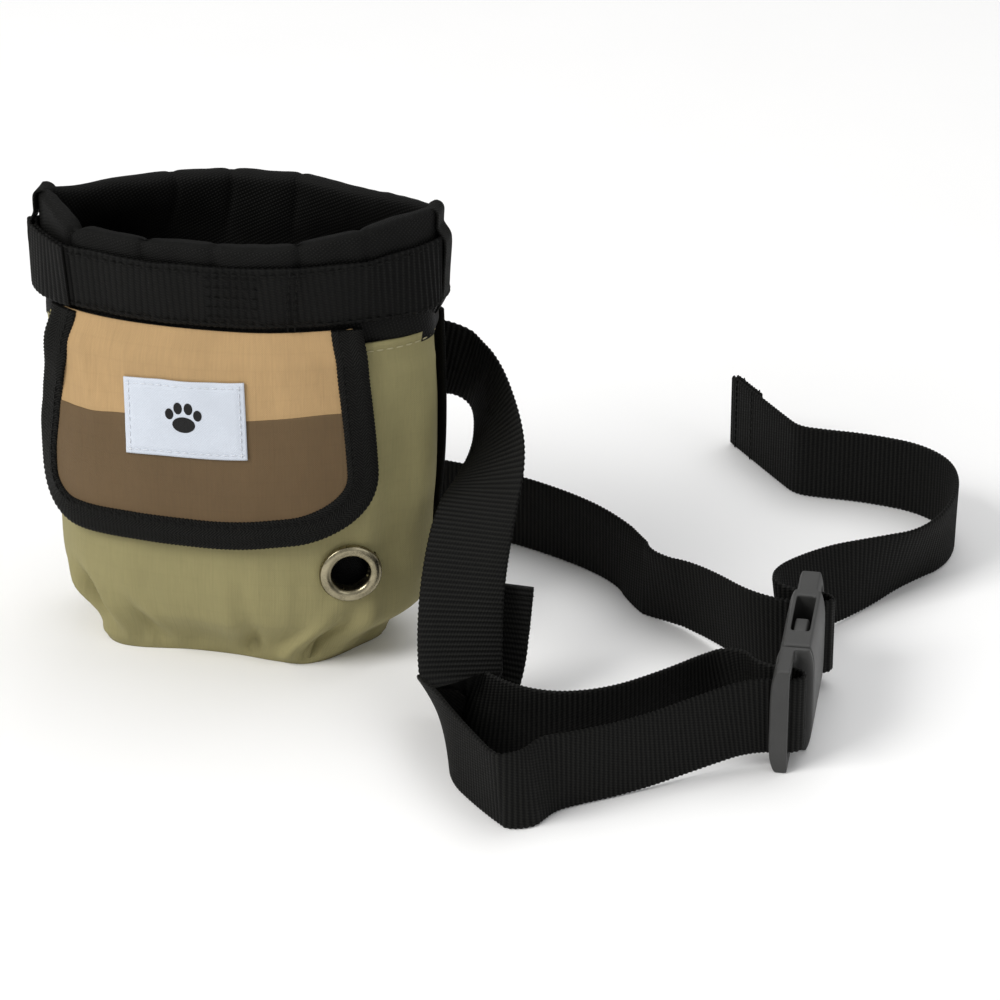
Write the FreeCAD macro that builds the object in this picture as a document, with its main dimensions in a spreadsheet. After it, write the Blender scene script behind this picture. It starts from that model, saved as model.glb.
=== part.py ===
import FreeCAD, Part
import math
import os

import Sketcher
from FreeCAD import Placement, Rotation, Vector

# A belt-worn treat pouch. Origin: middle of the base on the surface it stands on.
# +Z is up, the flap faces -Y, +X is to the right of someone who looks at the flap.

doc = FreeCAD.newDocument("TreatPouch")

# ---------------------------------------------------------------- driving sizes, in mm
SIZES = (
    ("pouch_height", 141.0),
    ("base_half_width", 43.0),
    ("base_front_depth", 19.0),
    ("base_back_depth", 20.0),
    ("heel_height", 12.0),
    ("heel_half_width", 51.0),
    ("heel_front_depth", 20.5),
    ("heel_back_depth", 24.5),
    ("belly_height", 44.0),
    ("belly_half_width", 56.0),
    ("belly_front_depth", 21.0),
    ("belly_back_depth", 26.5),
    ("shoulder_height", 111.0),
    ("shoulder_half_width", 58.0),
    ("shoulder_front_depth", 21.0),
    ("shoulder_back_depth", 24.5),
    ("mouth_half_width", 59.0),
    ("mouth_front_depth", 21.0),
    ("mouth_back_depth", 22.0),
    ("fabric", 1.0),
    ("lining_fabric", 0.6),
    ("layer_gap", 0.3),
    ("bottom_panel_half_length", 34.0),
    ("bottom_panel_radius", 14.5),
    ("bag_overlap", 5.0),
    ("collar_wall", 1.3),
    ("collar_facing", 30.0),
    ("webbing_height", 20.0),
    ("webbing_thickness", 1.4),
    ("webbing_below_rim", 9.5),
    ("side_binding_half_width", 5.0),
    ("magnet_radius", 6.0),
    ("magnet_thickness", 0.9),
    ("magnet_below_rim", 12.0),
    ("pocket_gap", 5.5),
    ("pocket_seam_gap", 0.8),
    ("pocket_height", 106.0),
    ("pocket_hem", 0.4),
    ("flap_left", 57.0),
    ("flap_right", 44.0),
    ("flap_bottom", 41.0),
    ("flap_below_webbing", 1.2),
    ("flap_corner_radius", 19.0),
    ("flap_standoff", 2.4),
    ("flap_fabric", 0.8),
    ("binding_width", 10.0),
    ("binding_thickness", 2.3),
    ("panel_seam_height", 84.0),
    ("label_left", 29.0),
    ("label_right", 7.0),
    ("label_bottom", 69.5),
    ("label_height", 26.0),
    ("label_thickness", 0.6),
    ("patch_half_length", 22.0),
    ("patch_bottom", 54.0),
    ("patch_height", 16.0),
    ("patch_thickness", 0.5),
    ("eyelet_x", 36.0),
    ("eyelet_z", 34.0),
    ("eyelet_turn", 19.5),
    ("eyelet_hole_radius", 5.7),
    ("eyelet_flange_radius", 9.5),
    ("eyelet_barrel_wall", 0.8),
    ("eyelet_roll", 1.9),
    ("eyelet_depth", 2.9),
    ("eyelet_clearance", 0.1),
    ("washer_thickness", 0.6),
    ("belt_width", 25.0),
    ("belt_thickness", 1.6),
    ("belt_clearance", 0.5),
    ("belt_height", 81.0),
    ("loop_offset", 37.0),
    ("loop_width", 20.0),
    ("loop_thickness", 1.2),
    ("loop_foot", 14.0),
    ("hem_length", 14.0),
    ("buckle_width", 34.0),
    ("buckle_thickness", 11.0),
    ("buckle_length", 59.6),
    ("buckle_lift", 0.5),
    ("buckle_wall", 1.8),
    ("buckle_side_wall", 2.2),
    ("male_frame_length", 15.2),
    ("male_frame_thickness", 5.5),
    ("male_shoulder", 1.9),
    ("male_slot_start", 2.5),
    ("male_slot", 3.6),
    ("buckle_bar", 3.2),
    ("slot_side", 3.5),
    ("buckle_gap", 0.3),
    ("tongue_length", 25.0),
    ("tongue_width", 4.0),
    ("tongue_thickness", 5.0),
    ("ring_length", 9.0),
    ("window_length", 20.0),
    ("female_end_bar", 2.0),
    ("female_end_slot", 3.3),
    ("female_bar", 2.1),
    ("female_slot", 4.0),
    ("adjuster_thickness", 8.0),
    ("prong_root", 3.5),
    ("prong_catch", 1.6),
    ("prong_inset", 0.6),
    ("prong_length", 12.0),
    ("prong_pad_start", 4.0),
    ("prong_pad_end", 8.5),
)
sheet = doc.addObject("Spreadsheet::Sheet", "Sizes")
for row, (alias, value) in enumerate(SIZES, start=1):
    sheet.set(f"A{row}", alias)
    sheet.set(f"B{row}", str(value))
    sheet.setAlias(f"B{row}", alias)
doc.recompute()

kept = {}  # node name: document object


def size(alias):
    return float(sheet.get(alias))


def bound(text):
    """An expression on sheet names, with the sheet's own name put in front of each."""
    words = text
    for alias, _ in sorted(SIZES, key=lambda item: -len(item[0])):
        words = words.replace(alias, "\0" + alias[::-1] + "\0")
    for alias, _ in SIZES:
        words = words.replace("\0" + alias[::-1] + "\0", "Sizes." + alias)
    return words


def keep(item, node):
    item.Label = node
    kept[node] = item
    return item


# ---------------------------------------------------------------- soft skins
# The bag is lofted through five rounded outlines. Every layer of cloth is the same loft,
# moved in or out, so that layers nest without meeting.
LEVELS = (
    ("base", 0.0, "pocket_seam_gap", 2.6),
    ("heel", size("heel_height"), "pocket_gap", 3.0),
    ("belly", size("belly_height"), "pocket_gap", 4.0),
    ("shoulder", size("shoulder_height"), "pocket_gap", 4.0),
    ("mouth", size("pouch_height"), "pocket_gap", 2.6),
)
FRONT_ROUNDNESS = 2.2
OUTLINE_POINTS = 28
REACH = 400.0


def outline(half_width, front, back, back_roundness, height):
    points = []
    for step in range(OUTLINE_POINTS):
        turn = 2 * math.pi * step / OUTLINE_POINTS
        power = 2 / (back_roundness if math.sin(turn) > 0 else FRONT_ROUNDNESS)
        depth = back if math.sin(turn) > 0 else front
        x = math.copysign(abs(math.cos(turn)) ** power, math.cos(turn)) * half_width
        y = math.copysign(abs(math.sin(turn)) ** power, math.sin(turn)) * depth
        points.append(Vector(x, y, height))
    curve = Part.BSplineCurve()
    curve.interpolate(Points=points, PeriodicFlag=True)
    return Part.Wire(curve.toShape())


def loft(offset, pocket=False):
    """The bag's full-height solid, moved outward by offset, over the pocket if asked."""
    wires = []
    for name, height, gap, back_roundness in LEVELS:
        front = size(name + "_front_depth") + offset
        if pocket:
            front += size(gap)
        half = size(name + "_half_width") + offset
        back = size(name + "_back_depth") + offset
        wires.append(outline(half, front, back, back_roundness, height))
    return Part.makeLoft(wires, True, False)


def slab(low, high):
    return Part.makeBox(2 * REACH, 2 * REACH, high - low, Vector(-REACH, -REACH, low))


def skin(inner, outer, low, high, pocket=False):
    """A wall of cloth between two offsets of the loft, from one height to another."""
    return loft(outer, pocket).cut(loft(inner, pocket)).common(slab(low, high))


def soft(node, shape):
    item = doc.addObject("Part::Feature", node)
    solid = shape.Solids[0] if len(shape.Solids) == 1 else shape
    item.Shape = solid
    return keep(item, node)


def front_prism(left, right, low, high, corner=0.0):
    """A block in front of the bag, seen from the front as a panel with round lower corners."""
    depth = 3 * size("belly_back_depth")
    block = Part.makeBox(left + right, depth, high - low, Vector(-left, -depth, low))
    if corner:
        edges = [
            edge
            for edge in block.Edges
            if edge.BoundBox.ZMax < low + 0.01 and edge.BoundBox.YLength > depth / 2
        ]
        block = block.makeFillet(corner, edges)
    return block


fabric = size("fabric")
gap = size("layer_gap")
height = size("pouch_height")
lining_out = -fabric - gap
lining_in = lining_out - size("lining_fabric")
webbing_top = height - size("webbing_below_rim")
webbing_low = webbing_top - size("webbing_height")
collar_low = height - size("collar_facing")
bag_top = collar_low + size("bag_overlap")
wall = size("collar_wall")

# main bag, its stiff base and its lining
bag = loft(0).common(slab(0, bag_top)).cut(loft(-fabric).common(slab(fabric, height + 1)))
soft("outer_bag", bag)
panel_low = fabric + gap
panel_high = panel_low + fabric
lining_floor = panel_high + gap
lining_top = height - wall - gap
lining = loft(lining_out).common(slab(lining_floor, lining_top))
lining_space = slab(lining_floor + size("lining_fabric"), height + 1)
soft("lining", lining.cut(loft(lining_in).common(lining_space)))

# folded collar: an upside-down channel over the top of the bag and lining
collar_out = gap + wall
collar_in = lining_in - gap - wall
channel = skin(collar_in + wall, gap, collar_low - 1, height - wall)
soft("rim_collar", skin(collar_in, collar_out, collar_low, height).cut(channel))
band_in = collar_out + gap / 2
band_out = band_in + size("webbing_thickness")
soft("collar_webbing", skin(band_in, band_out, webbing_low, webbing_top))
binding_skin = skin(band_out + gap / 2, band_out + gap / 2 + fabric, webbing_low, height)
binding_half = size("side_binding_half_width")
for side, start in (("left", -REACH), ("right", 0)):
    corner = Vector(start, -binding_half, 0)
    block = Part.makeBox(REACH, 2 * binding_half, height, corner)
    soft("side_binding_" + side, binding_skin.common(block))

# front pocket, a second skin that stands off the bag
pocket_in = gap
pocket_out = pocket_in + fabric
front_half = Part.makeBox(2 * REACH, REACH, height, Vector(-REACH, -REACH - 1, 0))
pocket = skin(pocket_in, pocket_out, size("pocket_hem"), size("pocket_height"), True)
pocket = pocket.common(front_half)
eyelet_turn = math.radians(size("eyelet_turn"))
eyelet_axis = Vector(math.sin(eyelet_turn), -math.cos(eyelet_turn), 0)
probe = Part.makeLine(
    Vector(size("eyelet_x"), -REACH, size("eyelet_z")),
    Vector(size("eyelet_x"), 0, size("eyelet_z")),
)
met = pocket.common(probe)
eyelet_seat = Vector(size("eyelet_x"), met.BoundBox.YMin, size("eyelet_z"))
hole_radius = size("eyelet_hole_radius") + size("eyelet_barrel_wall") + gap
hole = Part.makeCylinder(
    hole_radius, 4 * fabric, eyelet_seat + eyelet_axis * 2 * fabric, eyelet_axis * -1
)
soft("front_pocket", pocket.cut(hole))

# flap: backing, two panels, edge binding, label and the closure behind it
flap_left = size("flap_left")
flap_right = size("flap_right")
flap_low = size("flap_bottom")
flap_top = webbing_low - size("flap_below_webbing")
edge = size("binding_width")
whole = front_prism(flap_left, flap_right, flap_low, flap_top, size("flap_corner_radius"))
inset = front_prism(
    flap_left - edge,
    flap_right - edge,
    flap_low + edge,
    flap_top + 1,
    size("flap_corner_radius") - edge,
)
backing_in = pocket_out + size("flap_standoff") - size("flap_fabric")
backing_out = backing_in + size("flap_fabric")
panel_in = backing_out + gap / 3
panel_out = panel_in + size("flap_fabric")
backing = skin(backing_in, backing_out, flap_low, flap_top, True)
soft("flap_backing", backing.common(inset))
for node, low, high in (
    ("flap_upper_panel", size("panel_seam_height") + gap / 3, flap_top),
    ("flap_lower_panel", flap_low, size("panel_seam_height")),
):
    soft(node, skin(panel_in, panel_out, low, high, True).common(inset))
binding_in = backing_in - gap
binding_out = binding_in + size("binding_thickness")
binding = skin(binding_in, binding_out, flap_low, flap_top, True)
ring = whole.cut(
    front_prism(
        flap_left - edge + gap / 3,
        flap_right - edge + gap / 3,
        flap_low + edge - gap / 3,
        flap_top + 1,
        size("flap_corner_radius") - edge + gap / 3,
    )
)
soft("flap_binding", binding.common(ring))
label_in = panel_out + gap / 3
label_out = label_in + size("label_thickness")
label_top = size("label_bottom") + size("label_height")
label = skin(label_in, label_out, size("label_bottom"), label_top, True)
label_block = front_prism(
    size("label_left"), size("label_right"), size("label_bottom"), label_top
)
soft("label", label.common(label_block))
patch_low = size("patch_bottom")
patch_high = patch_low + size("patch_height")
patch = size("patch_thickness")
patch_half = size("patch_half_length")
middle = (flap_right - flap_left) / 2
patch_block = front_prism(patch_half - middle, patch_half + middle, patch_low, patch_high)
hook_out = backing_in - gap / 3
loop_in = pocket_out + gap / 3
for node, inner in (("flap_hook_patch", hook_out - patch), ("pocket_loop_patch", loop_in)):
    strip = skin(inner, inner + patch, patch_low, patch_high, True)
    soft(node, strip.common(patch_block))


# ---------------------------------------------------------------- sketched parts
def origin_plane(body, role):
    for feature in body.Origin.OriginFeatures:
        if feature.Role == role:
            return feature
    raise ValueError(role)


def polygon(body, name, role, corners):
    """A closed outline, each corner placed by two expressions on the sheet."""
    sketch = body.newObject("Sketcher::SketchObject", name)
    sketch.AttachmentSupport = [(origin_plane(body, role), "")]
    sketch.MapMode = "FlatFace"
    spread = len(corners)
    for number in range(spread):
        here = 2 * math.pi * number / spread
        there = 2 * math.pi * (number + 1) / spread
        start = Vector(20 + 10 * math.cos(here), 20 + 10 * math.sin(here), 0)
        end = Vector(20 + 10 * math.cos(there), 20 + 10 * math.sin(there), 0)
        sketch.addGeometry(Part.LineSegment(start, end))
    for number in range(spread):
        following = (number + 1) % spread
        sketch.addConstraint(Sketcher.Constraint("Coincident", number, 2, following, 1))
    for number, (across, up) in enumerate(corners):
        for kind, text in (("DistanceX", across), ("DistanceY", up)):
            start = sketch.getPoint(number, 1)
            value = start.x if kind == "DistanceX" else start.y
            index = sketch.addConstraint(
                Sketcher.Constraint(kind, -1, 1, number, 1, value)
            )
            sketch.setExpression(f"Constraints[{index}]", bound(text))
    return sketch


def rectangle(body, name, role, left, right, low, high):
    corners = ((left, low), (right, low), (right, high), (left, high))
    return polygon(body, name, role, corners)


def pad(body, sketch, length, offset="0 mm"):
    feature = body.newObject("PartDesign::Pad", sketch.Name + "Pad")
    feature.Profile = sketch
    feature.setExpression("Length", bound(length))
    sketch.setExpression("AttachmentOffset.Base.z", bound(offset))
    return feature


def pocket_through(body, sketch):
    feature = body.newObject("PartDesign::Pocket", sketch.Name + "Pocket")
    feature.Profile = sketch
    feature.Type = "ThroughAll"
    feature.Midplane = True
    return feature


def new_body(node):
    return keep(doc.addObject("PartDesign::Body", node), node)


# stiff oval base panel
body = new_body("bottom_panel")
sketch = body.newObject("Sketcher::SketchObject", "BasePanel")
sketch.AttachmentSupport = [(origin_plane(body, "XY_Plane"), "")]
sketch.MapMode = "FlatFace"
half = size("bottom_panel_half_length") - size("bottom_panel_radius")
round_end = size("bottom_panel_radius")
for start, end in (
    (Vector(-half, -round_end), Vector(half, -round_end)),
    (Vector(half, round_end), Vector(-half, round_end)),
):
    sketch.addGeometry(Part.LineSegment(start, end))
up = Vector(0, 0, 1)
for centre, begin in ((half, -math.pi / 2), (-half, math.pi / 2)):
    circle = Part.Circle(Vector(centre, 0), up, round_end)
    sketch.addGeometry(Part.ArcOfCircle(circle, begin, begin + math.pi))
for first, second in (((0, 2), (2, 1)), ((2, 2), (1, 1)), ((1, 2), (3, 1)), ((3, 2), (0, 1))):
    sketch.addConstraint(Sketcher.Constraint("Tangent", *first, *second))
sketch.addConstraint(Sketcher.Constraint("Horizontal", 0))
sketch.addConstraint(Sketcher.Constraint("Symmetric", 2, 3, 3, 3, -1, 1))
index = sketch.addConstraint(Sketcher.Constraint("Radius", 2, round_end))
sketch.setExpression(f"Constraints[{index}]", bound("bottom_panel_radius"))
index = sketch.addConstraint(Sketcher.Constraint("DistanceX", -1, 1, 2, 3, half))
expression = bound("bottom_panel_half_length - bottom_panel_radius")
sketch.setExpression(f"Constraints[{index}]", expression)
pad(body, sketch, "fabric")
body.setExpression("Placement.Base.z", bound("fabric + layer_gap"))

# closure magnets inside the collar, front and back
magnet_height = height - size("magnet_below_rim")
magnet_radius = size("magnet_radius")


def wall_depth(outward, level):
    """How far out the bag's wall is at its middle, at one height."""
    line = Part.makeLine(Vector(0, 0, level), Vector(0, outward * REACH, level))
    return outward * loft(0).common(line).Length


for side, outward in (("front", -1), ("back", 1)):
    low = wall_depth(outward, magnet_height - magnet_radius)
    high = wall_depth(outward, magnet_height + magnet_radius)
    normal = Vector(0, 2 * magnet_radius * outward, (low - high) * outward).normalize()
    sunk = (fabric + size("magnet_thickness")) / 2
    magnet = doc.addObject("Part::Cylinder", "rim_magnet_" + side)
    magnet.setExpression("Radius", bound("magnet_radius"))
    magnet.setExpression("Height", bound("magnet_thickness"))
    centre = Vector(0, (low + high) / 2, magnet_height)
    magnet.Placement = Placement(centre - normal * sunk, Rotation(Vector(0, 0, 1), normal))
    keep(magnet, "rim_magnet_" + side)

# eyelet: a rolled flange with a barrel through the pocket, and its washer behind
eyelet_turned = Rotation(Vector(0, 0, 1), eyelet_axis)
body = new_body("eyelet_front")
sketch = polygon(
    body,
    "EyeletProfile",
    "XZ_Plane",
    (
        ("eyelet_hole_radius", "eyelet_clearance"),
        ("eyelet_hole_radius", "eyelet_depth + eyelet_roll / 2"),
        ("eyelet_hole_radius + eyelet_roll * 0.3", "eyelet_depth + eyelet_roll * 0.9"),
        ("eyelet_hole_radius + eyelet_roll * 0.9", "eyelet_depth + eyelet_roll"),
        ("eyelet_flange_radius - eyelet_roll * 0.4", "eyelet_depth + eyelet_roll * 0.7"),
        ("eyelet_flange_radius", "eyelet_depth + eyelet_roll * 0.3"),
        ("eyelet_flange_radius", "eyelet_depth + eyelet_clearance"),
        ("eyelet_hole_radius + eyelet_barrel_wall", "eyelet_depth + eyelet_clearance"),
        ("eyelet_hole_radius + eyelet_barrel_wall", "eyelet_clearance"),
    ),
)
turned = body.newObject("PartDesign::Revolution", "EyeletTurned")
turned.Profile = sketch
turned.ReferenceAxis = (sketch, ["V_Axis"])
turned.Angle = 360
eyelet_base = eyelet_seat - eyelet_axis * size("eyelet_depth")
body.Placement = Placement(eyelet_base, eyelet_turned)
washer = doc.addObject("Part::Cylinder", "WasherDisc")
washer.setExpression("Radius", bound("eyelet_flange_radius - layer_gap"))
washer.setExpression("Height", bound("washer_thickness"))
bore = doc.addObject("Part::Cylinder", "WasherBore")
bore.setExpression("Radius", bound("eyelet_hole_radius + eyelet_barrel_wall + layer_gap / 2"))
bore.setExpression("Height", bound("washer_thickness"))
ring_washer = doc.addObject("Part::Cut", "eyelet_washer")
ring_washer.Base = washer
ring_washer.Tool = bore
washer_start = eyelet_base + eyelet_axis * 2 * size("eyelet_clearance")
ring_washer.Placement = Placement(washer_start, eyelet_turned)
keep(ring_washer, "eyelet_washer")

# two webbing loops on the back that hold the belt
loop_plane = "(belly_back_depth + 2 * layer_gap)"
loop_inner = f"({loop_plane} + loop_thickness)"
loop_lift = f"({loop_inner} + belt_thickness + 2 * belt_clearance)"
belt_low = "(belt_height - belt_width / 2 - 2 * belt_clearance)"
belt_high = "(belt_height + belt_width / 2 + 2 * belt_clearance)"
for side, sign in (("left", -1), ("right", 1)):
    body = new_body("belt_loop_" + side)
    sketch = polygon(
        body,
        "Loop" + side,
        "YZ_Plane",
        (
            (loop_plane, f"{belt_low} - loop_foot"),
            (loop_inner, f"{belt_low} - loop_foot"),
            (loop_inner, f"{belt_low} - loop_thickness"),
            (f"{loop_lift} + loop_thickness", f"{belt_low} - loop_thickness"),
            (f"{loop_lift} + loop_thickness", f"{belt_high} + loop_thickness"),
            (loop_inner, f"{belt_high} + loop_thickness"),
            (loop_inner, f"{belt_high} + loop_foot"),
            (loop_plane, f"{belt_high} + loop_foot"),
            (loop_plane, belt_high),
            (loop_lift, belt_high),
            (loop_lift, belt_low),
            (loop_plane, belt_low),
        ),
    )
    pad(body, sketch, "loop_width")
    start = "loop_offset - loop_width / 2"
    if sign < 0:
        start = "-loop_offset - loop_width / 2"
    body.setExpression("Placement.Base.x", bound(start))

# ---------------------------------------------------------------- side-release buckle
# Drawn flat: x runs along the buckle from the male end, y across it, z through it.
# It then stands on its narrow side with its length along +Y.
buckle_turn = Rotation(Vector(1, 1, 1), 120)
BUCKLE_END = Vector(164.5, -60.5, 0)
male_end = "male_frame_length"
male_second = "(male_slot_start + male_slot + buckle_bar)"
body = new_body("buckle_male")
frame = rectangle(body, "MaleFrame", "XY_Plane", "0", male_end, "0", "buckle_width")
pad(body, frame, "male_frame_thickness")
shoulder = rectangle(
    body, "MaleShoulder", "XY_Plane", f"{male_end} - male_shoulder", male_end, "0", "buckle_width"
)
pad(body, shoulder, "buckle_thickness + buckle_lift")
tongue = rectangle(
    body,
    "MaleTongue",
    "XY_Plane",
    f"{male_end} - male_shoulder",
    f"{male_end} + tongue_length",
    "(buckle_width - tongue_width) / 2",
    "(buckle_width + tongue_width) / 2",
)
pad(body, tongue, "tongue_thickness", "(buckle_thickness - tongue_thickness) / 2 + buckle_lift")
for number, start in enumerate(("male_slot_start", male_second)):
    slot = rectangle(
        body,
        f"MaleSlot{number}",
        "XY_Plane",
        start,
        f"{start} + male_slot",
        "slot_side",
        "buckle_width - slot_side",
    )
    pocket_through(body, slot)
body.Placement = Placement(BUCKLE_END, buckle_turn)


def box(name, x, y, z, length, width, depth):
    item = doc.addObject("Part::Box", name)
    item.setExpression("Placement.Base.x", bound(x))
    item.setExpression("Placement.Base.y", bound(y))
    item.setExpression("Placement.Base.z", bound(z))
    item.setExpression("Length", bound(length))
    item.setExpression("Width", bound(width))
    item.setExpression("Height", bound(depth))
    return item


female_start = "(male_frame_length + buckle_gap)"
window_start = f"({female_start} + ring_length)"
window_end = f"({window_start} + window_length)"
far_slot = "(buckle_length - female_end_bar - female_end_slot)"
near_slot = f"({far_slot} - female_bar - female_slot)"
slot_width = "buckle_width - 2 * slot_side"
thin = "(buckle_thickness - adjuster_thickness) / 2"
block = box(
    "FemaleBlock",
    female_start,
    "0",
    "buckle_lift",
    f"buckle_length - {female_start}",
    "buckle_width",
    "buckle_thickness",
)
cavity = box(
    "FemaleCavity",
    female_start,
    "buckle_side_wall",
    "buckle_lift + buckle_wall",
    f"{window_end} - {female_start}",
    "buckle_width - 2 * buckle_side_wall",
    "buckle_thickness - 2 * buckle_wall",
)
window = box(
    "FemaleWindow",
    window_start,
    "0",
    "buckle_lift + buckle_wall",
    "window_length",
    "buckle_width",
    "buckle_thickness - 2 * buckle_wall",
)
slots = [
    box("FemaleFarSlot", far_slot, "slot_side", "0", "female_end_slot", slot_width, "2 * buckle_width"),
    box("FemaleNearSlot", near_slot, "slot_side", "0", "female_slot", slot_width, "2 * buckle_width"),
]
thinned = []
for name, level in (("Under", "buckle_lift"), ("Over", f"buckle_lift + buckle_thickness - {thin}")):
    thinned.append(
        box(
            "FemaleThin" + name,
            f"{window_end} + 2 * buckle_wall",
            "0",
            level,
            f"buckle_length - {window_end} - 2 * buckle_wall",
            "buckle_width",
            thin,
        )
    )
removed = doc.addObject("Part::MultiFuse", "FemaleRemoved")
removed.Shapes = [cavity, window] + slots + thinned
female = doc.addObject("Part::Cut", "buckle_female")
female.Base = block
female.Tool = removed
female.Placement = Placement(BUCKLE_END, buckle_turn)
keep(female, "buckle_female")

# two sprung prongs; the outer pad of each stands in a side window of the female half
prong_top = "(buckle_width - prong_inset)"
ring_inside = "(buckle_width - buckle_side_wall)"
prong_start = f"({female_start} + layer_gap)"
catch = f"({window_start} + layer_gap)"
upper = (
    (prong_start, f"{ring_inside} - prong_root - 3 * prong_catch"),
    (f"{catch} + prong_length", f"{ring_inside} - 2 * prong_pad_start"),
    (f"{catch} + prong_length + prong_inset", f"{ring_inside} - prong_pad_start"),
    (f"{catch} + prong_pad_end", f"{prong_top} - prong_inset"),
    (f"{catch} + prong_pad_start", prong_top),
    (catch, prong_top),
    (catch, f"{prong_top} - prong_pad_start"),
    (prong_start, f"{ring_inside} - prong_root - prong_catch"),
)
for node, mirrored in (("buckle_prong_upper", False), ("buckle_prong_lower", True)):
    body = new_body(node)
    corners = upper
    if mirrored:
        corners = tuple((along, f"buckle_width - ({across})") for along, across in upper)
    sketch = polygon(body, node + "_outline", "XY_Plane", corners)
    pad(body, sketch, "tongue_thickness", "(buckle_thickness - tongue_thickness) / 2 + buckle_lift")
    body.Placement = Placement(BUCKLE_END, buckle_turn)


# ---------------------------------------------------------------- belt
# Flat webbing. Each route point is (x, y, z) of the strap's centre, then the direction
# from its lower edge to its upper edge there. Both routes start where the strap leaves
# the loops on the back.
UP = (0, 0, 1)
DOWN = (0, 0, -1)
NEAR_ROUTE = (
    (48, 29.6, 81, UP),
    (61, 29.6, 81, UP),
    (74, 18, 77, (0.25, 0.1, 0.96)),
    (77, -2, 69, (0.75, 0.2, 0.6)),
    (73, -20, 55, (0.97, 0.1, 0.2)),
    (71.5, -36, 40, (1, 0, 0)),
    (71, -47, 25, (0.95, 0, -0.3)),
    (73, -56, 14, (0.5, -0.4, -0.75)),
    (85, -62.5, 12.5, (0, -0.1, -1)),
    (101, -67, 12.5, DOWN),
    (118, -62, 12.5, DOWN),
    (133, -49, 12.5, DOWN),
    (145, -37, 13, DOWN),
    (155, -39, 15.5, DOWN),
    (160.5, -48.9, 17, DOWN),
    (173.6, -49.4, 17, DOWN),
    (173.6, -56.2, 17, DOWN),
    (159, -57, 17, DOWN),
    (145, -65, 14.5, DOWN),
    (128, -77, 12.5, DOWN),
    (111, -87, 12.5, DOWN),
    (97, -99, 12.5, DOWN),
    (83, -93, 12.5, DOWN),
    (75.5, -80, 12.5, DOWN),
    (62, -67.5, 12.5, DOWN),
    (55.5, -52, 13, (0.1, 0, -1)),
    (60.5, -37, 18, (0.8, 0, -0.5)),
    (75, -29, 36, (1, 0, 0.1)),
)
FAR_ROUTE = (
    (-48, 29.6, 81, UP),
    (-58, 29.6, 81, UP),
    (-63, 45, 77, UP),
    (-52, 60, 66, UP),
    (-32, 67, 48, UP),
    (-8, 69.5, 29, UP),
    (16, 70, 15, UP),
    (42, 67.5, 12.5, UP),
    (70, 61.5, 12.5, UP),
    (94, 50, 12.5, UP),
    (110, 35, 12.5, UP),
    (120, 22, 13, UP),
    (137, 11, 14, UP),
    (156.5, -11.2, 17, UP),
    (177.6, -11.2, 17, UP),
    (177.6, -5.1, 17, UP),
    (160.5, -3.6, 17, UP),
    (161, 11, 15, (-0.3, -0.1, 0.95)),
    (172, 27, 13, (-0.35, 0.1, 0.93)),
    (186, 39, 12.5, (-0.1, 0, 1)),
    (198, 51, 12.5, UP),
    (207, 68, 12.5, UP),
    (207, 87, 12.5, UP),
    (197, 99.5, 12.5, UP),
    (179, 104.5, 12.5, UP),
    (160, 105.5, 12.5, UP),
    (147, 117, 12.5, UP),
    (132, 137, 12.5, UP),
)
RUN_SHARE = 0.45
ARC_STEPS = 5


def stations(route):
    """Runs joined by tangent arcs, as (place on the route, centre, heading, edge direction)."""
    points = [Vector(*point[:3]) for point in route]
    edges = [Vector(*point[3]).normalize() for point in route]
    headings = []
    for here, there in zip(points, points[1:]):
        headings.append((there - here).normalize())
    found = [(0.0, points[0], headings[0])]
    for number in range(1, len(points) - 1):
        before = (points[number] - points[number - 1]).Length
        after = (points[number + 1] - points[number]).Length
        reach = RUN_SHARE * min(before, after)
        turn = headings[number - 1].getAngle(headings[number])
        radius = reach / math.tan(turn / 2)
        print(f"  bend {number}: {math.degrees(turn):.0f} degrees, radius {radius:.1f} mm")
        begin = points[number] - headings[number - 1] * reach
        axis = headings[number - 1].cross(headings[number]).normalize()
        inward = axis.cross(headings[number - 1]).normalize()
        centre = begin + inward * radius
        for step in range(ARC_STEPS + 1):
            share = step / ARC_STEPS
            angle = turn * share
            spot = centre - inward * radius * math.cos(angle)
            spot += headings[number - 1] * radius * math.sin(angle)
            heading = headings[number - 1] * math.cos(angle) + inward * math.sin(angle)
            place = number + (share * 2 - 1) * reach / (before if share < 0.5 else after)
            found.append((place, spot, heading))
    found.append((float(len(points) - 1), points[-1], headings[-1]))
    full = []
    for place, spot, heading in found:
        low = min(int(place), len(points) - 2)
        mixed = edges[low] * (1 - place + low) + edges[low + 1] * (place - low)
        across = mixed - heading * mixed.dot(heading)
        full.append((place, spot, heading, across.normalize()))
    return full


def part_way(full, start, end):
    """The stations between two places, with one put in at each, in the middle of its run."""

    def at(place):
        before = max((item for item in full if item[0] <= place), key=lambda item: item[0])
        after = min((item for item in full if item[0] >= place), key=lambda item: item[0])
        if after[0] == before[0]:
            return before
        share = (place - before[0]) / (after[0] - before[0])
        across = before[3] * (1 - share) + after[3] * share
        across = across - before[2] * across.dot(before[2])
        spot = before[1] * (1 - share) + after[1] * share
        return (place, spot, before[2], across.normalize())

    inside = [item for item in full if start < item[0] < end]
    return [at(start)] + inside + [at(end)]


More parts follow.
